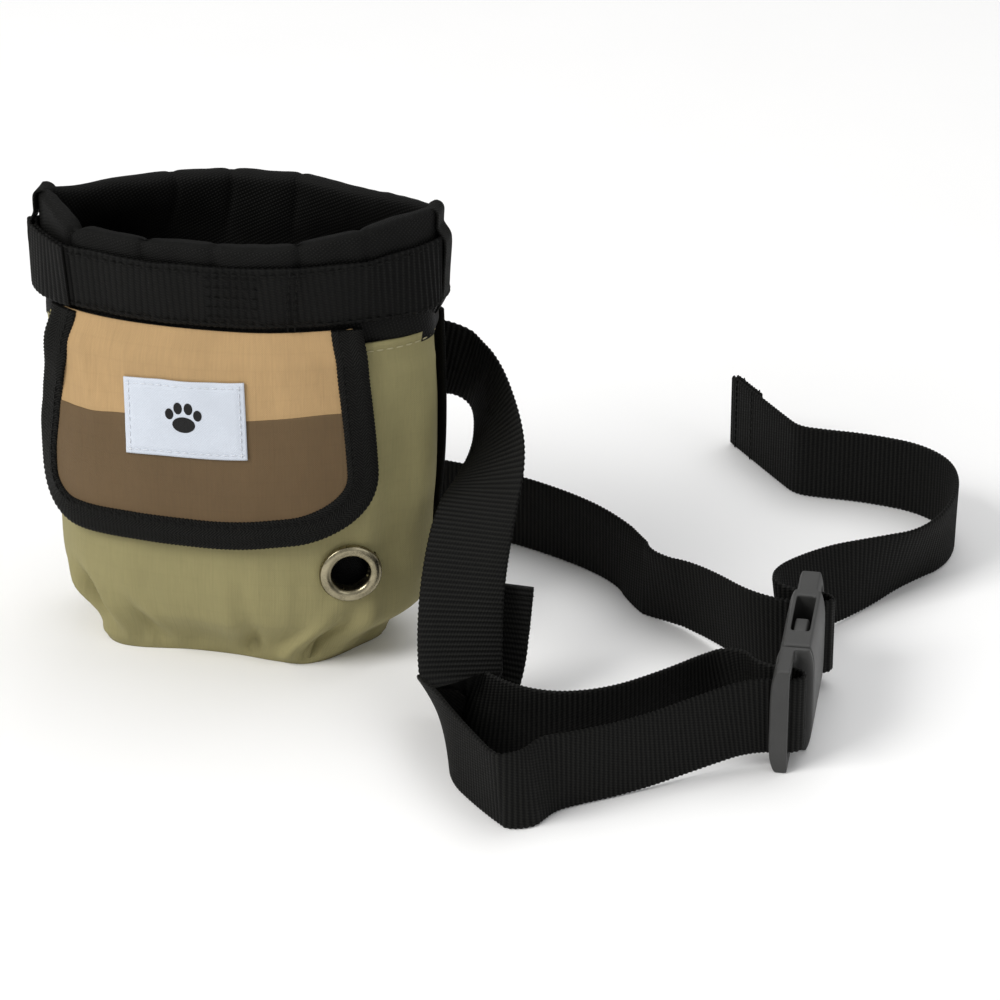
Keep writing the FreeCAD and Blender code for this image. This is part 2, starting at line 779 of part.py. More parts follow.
def strap(node, run, lift=0.0):
    """One length of webbing: a flat section carried along its stations."""
    half_width = size("belt_width") / 2
    thick = size("belt_thickness")
    sections = []
    for _, spot, heading, across in run:
        normal = heading.cross(across)
        middle = spot + normal * lift
        corners = []
        for side, face in ((-1, -1), (1, -1), (1, 1), (-1, 1), (-1, -1)):
            corners.append(middle + across * half_width * side + normal * thick / 2 * face)
        sections.append(Part.makePolygon(corners))
    item = soft(node, Part.makeLoft(sections, True, True))
    length = sum((b[1] - a[1]).Length for a, b in zip(run, run[1:]))
    share = item.Shape.Volume / (length * 2 * half_width * thick)
    print(f"{node}: {length:.0f} mm, volume {share:.3f} of section x length")
    return item


print(f"eyelet seat {eyelet_seat}, axis {eyelet_axis}")
print(f"flap hinge z {flap_top}, belt channel z {size('belt_height')}")
print("near route")
near = stations(NEAR_ROUTE)
print("far route")
far = stations(FAR_ROUTE)
along = Vector(1, 0, 0)
upward = Vector(*UP)
strap("belt_through_loops", [(0.0, far[0][1], along, upward), (1.0, near[0][1], along, upward)])
strap("belt_near_drop", part_way(near, 0, 7.5))
strap("belt_near_run", part_way(near, 7.5, 13.5))
strap("belt_near_adjuster", part_way(near, 13.5, 17.5))
strap("belt_near_tail", part_way(near, 17.5, 24.5))
strap("belt_near_tail_end", part_way(near, 24.5, 27))
strap("belt_far_return", part_way(far, 0, 6.5))
strap("belt_far_run", part_way(far, 6.5, 12.5))
strap("belt_far_adjuster", part_way(far, 12.5, 16.5))
strap("belt_far_tail", part_way(far, 16.5, 27))
hem_lift = size("belt_thickness") + gap / 3
for node, full, route in (("near", near, NEAR_ROUTE), ("far", far, FAR_ROUTE)):
    last_run = (Vector(*route[-1][:3]) - Vector(*route[-2][:3])).Length
    hem_start = full[-1][0] - size("hem_length") / last_run
    strap(f"belt_{node}_hem", part_way(full, hem_start, full[-1][0]), hem_lift)

# ---------------------------------------------------------------- checks and files
doc.recompute()
for item in doc.Objects:
    if "Invalid" in item.State or "Error" in item.State:
        raise RuntimeError(f"{item.Name}: {item.State}")
os.makedirs("parts", exist_ok=True)
for node, item in kept.items():
    shape = item.Shape
    if shape.isNull() or not shape.isValid() or not shape.Solids:
        raise RuntimeError(f"{node} has no valid solid")
    box_size = shape.BoundBox
    print(
        f"{node}: {len(shape.Solids)} solid, {shape.Volume:.0f} mm3, "
        f"x {box_size.XMin:.1f}..{box_size.XMax:.1f}, y {box_size.YMin:.1f}..{box_size.YMax:.1f}, "
        f"z {box_size.ZMin:.1f}..{box_size.ZMax:.1f}"
    )
    shape.exportStep(f"parts/{node}.step")
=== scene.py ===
import math

import bmesh
import bpy
import numpy as np
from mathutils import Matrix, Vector, noise


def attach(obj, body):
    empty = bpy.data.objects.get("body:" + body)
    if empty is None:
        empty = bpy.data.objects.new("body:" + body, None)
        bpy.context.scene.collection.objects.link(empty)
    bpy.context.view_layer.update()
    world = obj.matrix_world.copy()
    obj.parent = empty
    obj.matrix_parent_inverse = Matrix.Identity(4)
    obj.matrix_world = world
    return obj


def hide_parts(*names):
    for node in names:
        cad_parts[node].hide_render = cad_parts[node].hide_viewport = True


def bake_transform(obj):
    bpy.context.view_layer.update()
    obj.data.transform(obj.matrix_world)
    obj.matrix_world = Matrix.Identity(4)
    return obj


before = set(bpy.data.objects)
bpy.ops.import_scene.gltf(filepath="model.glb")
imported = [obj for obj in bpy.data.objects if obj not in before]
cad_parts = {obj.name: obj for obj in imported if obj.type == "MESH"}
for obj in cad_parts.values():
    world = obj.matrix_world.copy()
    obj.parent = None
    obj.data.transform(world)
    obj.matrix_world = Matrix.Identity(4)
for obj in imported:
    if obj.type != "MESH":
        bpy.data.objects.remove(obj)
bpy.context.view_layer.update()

bl_info = {
    "name": "Treat pouch",
    "version": (1, 0, 0),
    "blender": (4, 5, 0),
    "location": "View3D > Sidebar > Treat pouch",
    "description": "Sews a belt-worn treat pouch round its CAD frame",
    "category": "Object",
}

MM = 0.001
BELT_RIB = 1.45
BAND_RIB = 1.9
LOOP_END, LOOP_DEPTH, LOOP_HEIGHT = 48.0, 29.6, 81.0
COLLAR_COLUMNS = 420
TOPSTITCH_HEIGHT = 103.9
PATCH_COLUMNS = np.linspace(-28.0, 15.0, 44)
PATCH_ROWS = np.linspace(54.5, 69.5, 16)
BUCKLE_PLANE, BUCKLE_HALF = 170.5, 17.0
UP = (0, 0, 1)
DOWN = (0, 0, -1)

# ---------------------------------------------------------------- the pouch's form, in mm
HEIGHTS = np.array((0.0, 12.0, 44.0, 111.0, 141.0))
HALF_WIDTH = (43.0, 51.0, 55.6, 57.0, 57.4)
FRONT_DEPTH = (19.0, 20.5, 21.0, 21.0, 21.0)
BACK_DEPTH = (20.0, 24.5, 26.5, 24.5, 22.0)
POCKET_GAP = (0.8, 5.2, 5.5, 2.0, 0.6)
BACK_ROUND = (2.6, 3.0, 3.6, 3.4, 2.6)
FRONT_ROUND = 2.2
DENSE = 160
# where the stiff rim is creased: the share of the way round from the right by way of the back,
# the crease's place, and how sharp it is
RIM_CREASES = (
    (0.008, 58.6, 3.6, 0.5), (0.205, 15.5, 22.6, 0.8), (0.283, -5.7, 22.8, 1.0), (0.352, -22.5, 17.5, 0.9),
    (0.503, -57.9, -3.0, 0.6), (0.583, -45.5, -17.0, 1.6), (0.671, -23.4, -22.6, 1.0),
    (0.7436, -1.9, -23.8, 0.6),
    (0.828, 23.0, -23.4, 1.0), (0.899, 41.5, -18.4, 0.8),
)
# the base's outline on the table, from the right by way of the back
BASE_OUTLINE = (
    (41.0, 0.0), (41.5, 12.0), (37.0, 18.5), (20.0, 20.5), (0.0, 20.5), (-20.0, 20.0), (-37.0, 17.0),
    (-42.5, 6.0), (-43.0, 0.0), (-42.0, -11.0), (-38.0, -17.5), (-30.0, -19.6), (-14.0, -18.6),
    (0.0, -19.4), (12.0, -21.4), (21.0, -21.8), (28.0, -17.5), (35.0, -9.0),
)


def smooth(low, high, value):
    share = np.clip((np.asarray(value, float) - low) / (high - low), 0, 1)
    return share * share * (3 - 2 * share)


def hill(value, middle, width):
    return np.exp(-(((np.asarray(value, float) - middle) / width) ** 2))


def level(values, z):
    """A size at one height, on a smooth curve through the levels."""
    z = min(max(z, HEIGHTS[0]), HEIGHTS[-1])
    place = min(int(np.searchsorted(HEIGHTS, z, side="right")) - 1, len(HEIGHTS) - 2)
    values = np.array(values)
    slopes = np.gradient(values, HEIGHTS)
    run = HEIGHTS[place + 1] - HEIGHTS[place]
    t = (z - HEIGHTS[place]) / run
    blend = t * t * (3 - 2 * t)
    bow = t * (1 - t) ** 2 * run * slopes[place] - t * t * (1 - t) * run * slopes[place + 1]
    return values[place] * (1 - blend) + values[place + 1] * blend + bow


def run_lengths(points):
    return np.concatenate(([0.0], np.cumsum(np.linalg.norm(np.diff(points, axis=0), axis=1))))


def read_at(places, run, points):
    """Points read at places along a line whose own points lie at the lengths in run."""
    return np.stack([np.interp(places, run, points[:, k]) for k in range(points.shape[1])], axis=1)


def by_length(points, shares):
    """Points at these shares of a polyline's length."""
    run = run_lengths(points)
    return read_at(np.asarray(shares) * run[-1], run, points)


def halves(back, front, share):
    share = np.mod(share, 1.0)
    first = by_length(back, np.clip(share * 2, 0, 1))
    second = by_length(front, np.clip(share * 2 - 1, 0, 1))
    return np.where((share < 0.5)[:, None], first, second)


def rounded_base():
    points = np.array(BASE_OUTLINE)
    count = len(BASE_OUTLINE)
    smoothed = []
    for k in range(count):
        a, b, c, d = (points[(k + j) % count] for j in (-1, 0, 1, 2))
        for t in np.linspace(0, 1, 12, endpoint=False):
            bend = (2 * a - 5 * b + 4 * c - d) * t * t + (3 * b - a - 3 * c + d) * t**3
            smoothed.append(0.5 * (2 * b + (c - a) * t + bend))
    return np.array(smoothed + smoothed[:1])


BASE_RING = rounded_base()


def base_ring(share):
    split = 8 * 12
    return halves(BASE_RING[: split + 1], BASE_RING[split:], share)


def bare_ring(share, z, out, pocket):
    half = level(HALF_WIDTH, z) + out
    turn = np.linspace(0, math.pi, DENSE)
    power = 2 / level(BACK_ROUND, z)
    cos, sin = np.cos(turn), np.sin(turn)
    x = np.sign(cos) * np.abs(cos) ** power * half
    back = np.stack([x, np.abs(sin) ** power * (level(BACK_DEPTH, z) + out)], axis=1)
    power = 2 / FRONT_ROUND
    x = -np.sign(cos) * np.abs(cos) ** power * half
    depth = level(FRONT_DEPTH, z) + out + pocket * level(POCKET_GAP, z)
    front = np.stack([x, -np.abs(sin) ** power * depth], axis=1)
    return halves(back, front, share)


def wall(share, z, out=0.0, pocket=0.0):
    """Points of the pouch's wall, moved outward by out, at shares of the way round."""
    share = np.mod(np.atleast_1d(np.asarray(share, float)), 1.0)
    flat = bare_ring(share, z, out, pocket)
    facet = 0.8 * float(smooth(114, 138, z))
    if facet:
        creases = np.array(RIM_CREASES)
        corners = creases[:, 0]
        found = creases[:, 1:3] + bare_ring(corners, z, out, pocket) - bare_ring(corners, z, 0.0, pocket)
        corners = np.concatenate((corners - 1, corners, corners + 1))
        found = np.concatenate((found, found, found))
        facets = np.stack([np.interp(share, corners, found[:, k]) for k in (0, 1)], axis=1)
        flat = flat * (1 - facet) + facets * facet
    base = 1 - float(smooth(0, 17, z))
    if base:
        middle = base_ring(share)
        middle = middle * (1 + out / 40)
        flat = flat * (1 - base) + middle * base
    rise = float(smooth(96, 120, z))
    lift = (0.2 + 2.6 * smooth(5, 48, flat[:, 0]) * smooth(18, -10, flat[:, 1])) * rise
    lift -= 3.0 * smooth(-6, -19, flat[:, 1]) * smooth(46, 10, flat[:, 0]) * smooth(127, 140, z)
    return np.column_stack((flat, z + lift))


FRONT_RUN = float(np.linalg.norm(np.diff(bare_ring(np.linspace(0.5, 0.99999, 60), 70.0, 4.0, 1.0),
    axis=0), axis=1).sum())


def front_share(s):
    """The share of the way round at s mm to the right of the front's middle."""
    return 0.75 + 0.5 * np.asarray(s, float) / FRONT_RUN


def grain(x, y, scale, seed):
    return noise.noise(Vector((x / scale, y / scale, seed)))


def pocket_relief(s, z):
    """How far the pocket's cloth stands out of its even form."""
    low = smooth(62, 8, z)
    calm = 1 - 0.75 * smooth(48, 60, z) * smooth(50, 42, s)
    relief = (1.0 * grain(s, z * 0.8, 26, 3.1) * smooth(0, 12, z)
        + 1.0 * grain(s, z * 0.22, 7.5, 8.3) * low) * calm
    relief -= 5.0 * hill(s + (z - 16) * 0.5, -50.0, 3.4) * hill(z, 16.5, 5.5)
    relief += 2.4 * hill(s + (z - 14) * 0.4, -57.5, 3.6) * hill(z, 15.0, 8.0)
    relief += 2.2 * hill(s + (z - 12) * 0.4, -43.0, 3.8) * hill(z, 12.0, 7.0)
    relief -= 1.8 * hill(s + z * 0.6, -25.0, 3.0) * hill(z, 10.0, 9.0)
    relief += 1.0 * hill(s + z * 0.6, -18.0, 3.5) * hill(z, 11.0, 10.0)
    relief -= 3.2 * hill(s, 54.0 + (z - 50) * 0.12, 6.0) * hill(z, 54.0, 28.0)
    relief += 1.2 * hill(s, 44.5, 4.5) * hill(z, 58.0, 24.0)
    relief -= 3.8 * hill(s, 33.0 + z * 0.35, 2.8) * hill(z, 7.0, 10.0)
    relief += 2.6 * hill(s, 24.0 + z * 0.42, 3.6) * hill(z, 8.0, 11.0)
    relief += 2.4 * hill(s, 47.0, 4.0) * hill(z, 15.0, 13.0)
    relief -= 2.4 * hill(s, 12.0 - z * 0.3, 2.9) * hill(z, 7.0, 9.0)
    relief += 1.4 * hill(s, 4.0 - z * 0.2, 4.0) * hill(z, 10.0, 10.0)
    return float(relief * smooth(108, 94, z))


def flap_relief(s, z):
    relief = 0.5 * grain(s, z, 24, 5.7)
    relief += 1.0 * grain(s + z * 0.18, z * 0.14, 4.6, 2.2) * smooth(-18, -46, s) * smooth(66, 96, z)
    relief += 0.35 * grain(s, z * 0.2, 6.0, 12.5) * smooth(82, 100, z)
    relief += 0.25 * grain(s, z * 0.3, 9.0, 4.5)
    return float(relief)


def level_normals(row):
    """The level directions straight out of a row of points that runs to the right."""
    along = np.gradient(row, axis=0)
    out = np.stack((along[:, 1], -along[:, 0], np.zeros(len(row))), axis=1)
    return out / np.maximum(np.linalg.norm(out, axis=1, keepdims=True), 1e-9)


# ---------------------------------------------------------------- meshes
def finished(name, mesh, finish, soft=True):
    mesh.name = name
    for face in mesh.polygons:
        face.use_smooth = soft
    if finish is not None:
        mesh.materials.clear()
        mesh.materials.append(finish)
    made = bpy.data.objects.new(name, mesh)
    bpy.context.scene.collection.objects.link(made)
    return made


def mesh_from(name, points, faces, uvs, finish, soft=True):
    """A mesh from points in mm; uvs is one pair in mm for each point."""
    mesh = bpy.data.meshes.new(name)
    mesh.from_pydata([tuple(p * MM) for p in np.asarray(points, float)], [], faces)
    layer = mesh.uv_layers.new(name="UVMap")
    corners = np.zeros(len(mesh.loops), int)
    mesh.loops.foreach_get("vertex_index", corners)
    layer.data.foreach_set("uv", (np.asarray(uvs, float)[corners] * MM).astype(np.float32).ravel())
    mesh.validate()
    return finished(name, mesh, finish, soft)


def rings_shell(name, rings, uvs, finish, caps=(True, True)):
    """A closed form from rings that are listed up the outside and down the inside."""
    count = len(rings[0])
    points = np.concatenate(rings)
    uv = np.concatenate(uvs)
    faces = []
    for row in range(len(rings) - 1):
        low, high = row * count, (row + 1) * count
        for k in range(count):
            n = (k + 1) % count
            faces.append((low + k, low + n, high + n, high + k))
    last = (len(rings) - 1) * count
    if caps[0]:
        points = np.vstack((points, rings[0].mean(axis=0)))
        uv = np.vstack((uv, uvs[0].mean(axis=0)))
        faces += [((k + 1) % count, k, len(points) - 1) for k in range(count)]
    if caps[1]:
        points = np.vstack((points, rings[-1].mean(axis=0)))
        uv = np.vstack((uv, uvs[-1].mean(axis=0)))
        faces += [(last + k, last + (k + 1) % count, len(points) - 1) for k in range(count)]
    if not caps[0] and not caps[1]:
        faces += [(last + k, last + (k + 1) % count, (k + 1) % count, k) for k in range(count)]
    return mesh_from(name, points, faces, uv, finish)


def panel(name, grid, uv, thickness, finish, hole=None):
    """A piece of cloth from a grid whose columns run to the right and rows up, seen from outside."""
    grid = np.asarray(grid, float)
    rows, columns = grid.shape[:2]
    right = np.gradient(grid, axis=1)
    above = np.gradient(grid, axis=0)
    normal = np.cross(right, above)
    normal /= np.maximum(np.linalg.norm(normal, axis=2, keepdims=True), 1e-9)
    inner = grid - normal * thickness
    points = np.concatenate((grid.reshape(-1, 3), inner.reshape(-1, 3)))
    both = np.concatenate((np.asarray(uv).reshape(-1, 2),) * 2)
    size = rows * columns
    kept = np.ones((rows - 1, columns - 1), bool)
    if hole is not None:
        seat, axis, radius = hole
        middle = (grid[:-1, :-1] + grid[1:, :-1] + grid[:-1, 1:] + grid[1:, 1:]) / 4 - seat
        along = middle @ axis
        away = np.linalg.norm(middle - along[..., None] * axis, axis=2)
        kept = away > radius
    faces, edges = [], {}
    for r in range(rows - 1):
        for c in range(columns - 1):
            if not kept[r, c]:
                continue
            a = r * columns + c
            corners = (a, a + 1, a + columns + 1, a + columns)
            faces.append(corners)
            faces.append(tuple(size + k for k in reversed(corners)))
            for k in range(4):
                edge = (corners[k], corners[(k + 1) % 4])
                if (edge[1], edge[0]) in edges:
                    del edges[(edge[1], edge[0])]
                else:
                    edges[edge] = True
    faces += [(b, a, a + size, b + size) for a, b in edges]
    piece = mesh_from(name, points, faces, both, finish)
    work = bmesh.new()
    work.from_mesh(piece.data)
    bmesh.ops.delete(work, geom=[v for v in work.verts if not v.link_faces], context="VERTS")
    work.to_mesh(piece.data)
    work.free()
    return piece


def resampled(step, *rows):
    """The rows taken again at even steps along the first."""
    run = run_lengths(rows[0])
    count = max(int(round(run[-1] / step)) + 1, 3)
    places = np.linspace(0, run[-1], count)
    return [read_at(places, run, row) for row in rows]


def unit(rows):
    return rows / np.maximum(np.linalg.norm(rows, axis=1, keepdims=True), 1e-9)


def tape(name, centre, across, width, thick, finish, rib=0.0, depth=0.0, scallop=0.0, closed=False,
        cup=0.0):
    """Webbing or binding: a flat section with soft edges carried along a line, ribbed across."""
    heading = np.gradient(centre, axis=0)
    if closed:
        heading = np.roll(centre, -1, axis=0) - np.roll(centre, 1, axis=0)
    heading = unit(heading)
    across = unit(across - heading * (across * heading).sum(axis=1)[:, None])
    normal = np.cross(heading, across)
    run = run_lengths(centre)
    phase = np.cos(2 * math.pi * run / rib) if rib else np.ones(len(run))
    half = width / 2 - scallop * (0.5 - 0.5 * phase)
    lift = thick / 2 - depth * (0.5 - 0.5 * phase)
    edge = min(thick * 0.55, width * 0.2)
    spread = np.linspace(-1, 1, 6)
    section = [(k, 1.0, 0) for k in spread] + [(1, 0.62, 1), (1, 0.0, 2), (1, -0.62, 1)]
    section += [(-k, -1.0, 0) for k in spread] + [(-1, -0.62, 1), (-1, 0.0, 2), (-1, 0.62, 1)]
    points, uv = [], []
    inset = {0: edge, 1: edge * 0.25, 2: 0.0}
    for side, face, kind in section:
        a = side * (half - inset[kind])
        bow = cup * (side * side - 0.4)
        points.append(centre + across * a[:, None] + normal * (lift * face + bow)[:, None])
        uv.append(np.stack((run, a + (0 if face > 0 else 3 * width)), axis=1))
    count = len(section)
    points = np.stack(points, axis=1).reshape(-1, 3)
    uv = np.stack(uv, axis=1).reshape(-1, 2)
    rows = len(centre)
    faces = []
    for r in range(rows if closed else rows - 1):
        low, high = r * count, ((r + 1) % rows) * count
        for k in range(count):
            n = (k + 1) % count
            faces.append((low + k, high + k, high + n, low + n))
    if not closed:
        faces.append(tuple(range(count)))
        faces.append(tuple((rows - 1) * count + k for k in reversed(range(count))))
    return mesh_from(name, points, faces, uv, finish)


def stitch_tree():
    """Geometry Nodes: a thread stitch laid at an even pitch along every line of the input."""
    tree = bpy.data.node_groups.new("Stitches", "GeometryNodeTree")
    interface = tree.interface
    interface.new_socket("Geometry", in_out="INPUT", socket_type="NodeSocketGeometry")
    for label, value in (("Pitch", 0.0025), ("Stitch length", 0.0018), ("Thread radius", 0.0002)):
        interface.new_socket(label, in_out="INPUT", socket_type="NodeSocketFloat").default_value = value
    interface.new_socket("Thread", in_out="INPUT", socket_type="NodeSocketMaterial")
    interface.new_socket("Geometry", in_out="OUTPUT", socket_type="NodeSocketGeometry")
    nodes, links = tree.nodes, tree.links

    def node(kind, settings=None, sockets=None):
        made = nodes.new(kind)
        for key, value in (settings or {}).items():
            setattr(made, key, value)
        for key, value in (sockets or {}).items():
            if isinstance(value, bpy.types.NodeSocket):
                links.new(value, made.inputs[key])
            else:
                made.inputs[key].default_value = value
        return made

    given = node("NodeGroupInput").outputs
    line = node("GeometryNodeMeshToCurve", sockets={"Mesh": given["Geometry"]})
    even = node("GeometryNodeResampleCurve", {"mode": "LENGTH"},
        {"Curve": line.outputs[0], "Length": given["Pitch"]})
    half = node("ShaderNodeMath", {"operation": "MULTIPLY"}, {0: given["Stitch length"], 1: 0.5})
    bead = node("GeometryNodeMeshUVSphere", sockets={"Segments": 6, "Rings": 5, "Radius": 1.0})
    tangent = node("GeometryNodeInputTangent")
    turn = node("FunctionNodeAlignRotationToVector", {"axis": "Z"}, {"Vector": tangent.outputs[0]})
    scale = node("ShaderNodeCombineXYZ",
        sockets={0: given["Thread radius"], 1: given["Thread radius"], 2: half.outputs[0]})
    laid = node("GeometryNodeInstanceOnPoints", sockets={
        "Points": even.outputs[0], "Instance": bead.outputs[0], "Rotation": turn.outputs[0],
        "Scale": scale.outputs[0]})
    real = node("GeometryNodeRealizeInstances", sockets={0: laid.outputs[0]})
    coloured = node("GeometryNodeSetMaterial",
        sockets={"Geometry": real.outputs[0], "Material": given["Thread"]})
    links.new(coloured.outputs[0], node("NodeGroupOutput").inputs[0])
    return tree


def stitches(name, lines, finish, pitch=2.6, length=2.0, radius=0.2):
    """Rows of stitches along lines of points in mm, as one mesh."""
    mesh = bpy.data.meshes.new(name + "_lines")
    points, edges = [], []
    for line in lines:
        start = len(points)
        points += [tuple(np.asarray(p, float) * MM) for p in line]
        edges += [(start + k, start + k + 1) for k in range(len(line) - 1)]
    mesh.from_pydata(points, edges, [])
    rows = bpy.data.objects.new(name + "_lines", mesh)
    bpy.context.scene.collection.objects.link(rows)
    tree = bpy.data.node_groups.get("Stitches") or stitch_tree()
    modifier = rows.modifiers.new("Stitches", "NODES")
    modifier.node_group = tree
    wanted = {"Pitch": pitch * MM, "Stitch length": length * MM, "Thread radius": radius * MM,
        "Thread": finish}
    for item in tree.interface.items_tree:
        if item.in_out == "INPUT" and item.name in wanted:
            modifier[item.identifier] = wanted[item.name]
    bpy.context.view_layer.update()
    evaluated = rows.evaluated_get(bpy.context.evaluated_depsgraph_get())
    plain = bpy.data.meshes.new_from_object(evaluated)
    bpy.data.objects.remove(rows)
    return finished(name, plain, finish)


# ---------------------------------------------------------------- finishes
class Value:
    """A shader socket that arithmetic can be written on."""

    def __init__(self, finish, socket):
        self.finish = finish
        self.socket = socket

    def math(self, operation, *others, clamp=False):
        sockets = dict(enumerate((self,) + others))
        return self.finish.node("ShaderNodeMath", {"operation": operation, "use_clamp": clamp}, sockets)

    def __add__(self, other):
        return self.math("ADD", other)

    def __sub__(self, other):
        return self.math("SUBTRACT", other)

    def __rsub__(self, other):
        return self.finish.node("ShaderNodeMath", {"operation": "SUBTRACT"}, {0: other, 1: self})

    def __mul__(self, other):
        return self.math("MULTIPLY", other)

    def __truediv__(self, other):
        return self.math("DIVIDE", other)

    __radd__ = __add__
    __rmul__ = __mul__

    def wave(self, pitch):
        """From 0 to 1 and back once in each pitch."""
        return (self * (2 * math.pi / pitch)).math("COSINE") * 0.5 + 0.5

    def held(self, low, high):
        return self.finish.node(
            "ShaderNodeMapRange", {"interpolation_type": "SMOOTHSTEP"},
            {"Value": self, "From Min": low, "From Max": high})


class Finish:
    """A procedural material and the few ways in which its nodes are made."""

    def __init__(self, name, roughness=0.8, metallic=0.0, sheen=0.0, specular=0.5, coat=0.0):
        self.material = bpy.data.materials.new(name)
        self.material.use_nodes = True
        self.nodes = self.material.node_tree.nodes
        self.links = self.material.node_tree.links
        self.surface = self.nodes["Principled BSDF"]
        self.surface.inputs["Roughness"].default_value = roughness
        self.surface.inputs["Metallic"].default_value = metallic
        self.surface.inputs["Sheen Weight"].default_value = sheen
        self.surface.inputs["Sheen Roughness"].default_value = 0.45
        self.surface.inputs["Specular IOR Level"].default_value = specular
        self.surface.inputs["Coat Weight"].default_value = coat

    def put(self, socket, value):
        if isinstance(value, Value):
            self.links.new(value.socket, socket)
        else:
            socket.default_value = value

    def node(self, kind, settings=None, sockets=None, out=0):
        made = self.nodes.new(kind)
        for key, value in (settings or {}).items():
            if key == "stops":
                stops = made.color_ramp.elements
                for number, (place, colour) in enumerate(value):
                    stop = stops[number] if number < 2 else stops.new(place)
                    stop.position = place
                    stop.color = colour
            else:
                setattr(made, key, value)
        for key, value in (sockets or {}).items():
            self.put(made.inputs[key], value)
        return Value(self, made.outputs[out])

    def cloth(self):
        """Along and across the piece, in mm."""
        uv = self.node("ShaderNodeUVMap", {"uv_map": "UVMap"})
        split = self.nodes.new("ShaderNodeSeparateXYZ")
        self.links.new(uv.socket, split.inputs[0])
        return Value(self, split.outputs[0]) * 1000, Value(self, split.outputs[1]) * 1000

    def place(self):
        split = self.nodes.new("ShaderNodeSeparateXYZ")
        self.links.new(self.node("ShaderNodeTexCoord", out=3).socket, split.inputs[0])
        return [Value(self, split.outputs[k]) * 1000 for k in range(3)]

    def cloud(self, size, detail=3.0, rough=0.55, stretch=(1, 1, 1)):
        """Noise on the piece's own place, with features of about size mm."""
        where = self.node("ShaderNodeTexCoord", out=3)
        scaled = self.node("ShaderNodeMapping",
            sockets={0: where, 3: tuple(k * 1000 / size for k in stretch)})
        return self.node("ShaderNodeTexNoise",
            sockets={"Vector": scaled, "Scale": 1.0, "Detail": detail, "Roughness": rough})

    def mix(self, share, first, second):
        made = self.nodes.new("ShaderNodeMix")
        made.data_type = "RGBA"
        self.put(made.inputs[0], share)
        for socket, value in ((made.inputs[6], first), (made.inputs[7], second)):
            self.put(socket, value if isinstance(value, Value) else (*value, 1.0))
        return Value(self, made.outputs[2])

    def done(self, colour, height=None, raised=0.1, roughness=None):
        self.put(self.surface.inputs["Base Color"], colour)
        if roughness is not None:
            self.put(self.surface.inputs["Roughness"], roughness)
        if height is not None:
            bump = self.node("ShaderNodeBump",
                sockets={"Height": height, "Distance": raised * MM, "Strength": 1.0})
            self.put(self.surface.inputs["Normal"], bump)
        return self.material


def shade(colour, factor):
    return tuple(k * factor for k in colour)


def nylon(name, colour, grid=5.0, worn=0.18):
    """Plain-woven pouch cloth with a faint ripstop grid and soft mottling."""
    finish = Finish(name, roughness=0.72, sheen=0.02, specular=0.22)
    u, v = finish.cloth()
    weave = u.wave(0.62) * v.wave(0.62) + (1 - u.wave(0.62)) * (1 - v.wave(0.62))
    rip = (u.wave(grid) - 0.95).math("MAXIMUM", 0.0) * 20 + (v.wave(grid) - 0.95).math("MAXIMUM", 0.0) * 20
    slub = finish.node("ShaderNodeTexNoise", sockets={
        "Vector": finish.node("ShaderNodeMapping", sockets={
            0: finish.node("ShaderNodeUVMap", {"uv_map": "UVMap"}), 3: (1600.0, 130.0, 1.0)}),
        "Scale": 1.0, "Detail": 2.0})
    patch = finish.cloud(22)
    tone = patch * worn * 1.8 + slub * 0.26 + weave * 0.12 - rip * 0.025
    base = finish.mix(tone.held(0.1, 0.62), shade(colour, 0.82), shade(colour, 1.12))
    height = weave * 0.6 + rip * 0.2 + slub * 0.7
    return finish.done(base, height, 0.09, 0.66 + slub * 0.16)


def webbing(name, dark, light, pitch):
    """Ribbed webbing: the ribs are in the mesh, and the yarn's twist, the wear and a painted highlight on
    each rib's top are here.
    """
    finish = Finish(name, roughness=0.6, specular=0.12)
    u, v = finish.cloth()
    # rib paints each rib's top lighter: a painted highlight where the rib catches the light; yarn and fuzz
    # are the cloth's own tone
    rib = u.wave(pitch)
    yarn = (v * 1.0 + u * 0.35).wave(0.9)
    fuzz = finish.cloud(1.1, 2.0)
    tone = (rib * 0.75 + yarn * 0.3 + fuzz * 0.35) - 0.25
    base = finish.mix(tone.held(0.1, 1.0), dark, light)
    return finish.done(base, yarn * 0.6 + fuzz * 0.4, 0.12, 0.5 + fuzz * 0.25)


def oxford(name, dark, light, pitch=1.05):
    """Coated Oxford cloth with a fine dotted weave."""
    finish = Finish(name, roughness=0.62, specular=0.12)
    u, v = finish.cloth()
    dots = (u + v * 0.5).wave(pitch) * (v - u * 0.5).wave(pitch)
    patch = finish.cloud(9)
    base = finish.mix((dots * 0.8 + patch * 0.35 - 0.1).held(0.0, 1.0), dark, light)
    return finish.done(base, dots + patch * 0.3, 0.16, 0.55 + patch * 0.2)


def herringbone(name, dark, light):
    """Binding tape whose twill turns back down its middle."""
    finish = Finish(name, roughness=0.7, specular=0.12)
    u, v = finish.cloth()
    slant = (v / 2.2).math("PINGPONG", 1.0) * 2.2
    twill = (u + slant * 1.1).wave(0.95)
    fuzz = finish.cloud(1.3, 2.0)
    base = finish.mix((twill * 0.75 + fuzz * 0.4 - 0.15).held(0.0, 1.0), dark, light)
    return finish.done(base, twill + fuzz * 0.4, 0.16, 0.62 + fuzz * 0.2)


def label_weave(name, colour):
    finish = Finish(name, roughness=0.55, sheen=0.05, specular=0.4)
    u, v = finish.cloth()
    satin = (u + v).wave(0.55) * 0.6 + (u - v).wave(0.8) * 0.4
    patch = finish.cloud(7)
    base = finish.mix((satin * 0.5 + patch * 0.5).held(0.1, 0.9), shade(colour, 0.9), shade(colour, 1.06))
    return finish.done(base, satin, 0.05, 0.5 + patch * 0.15)


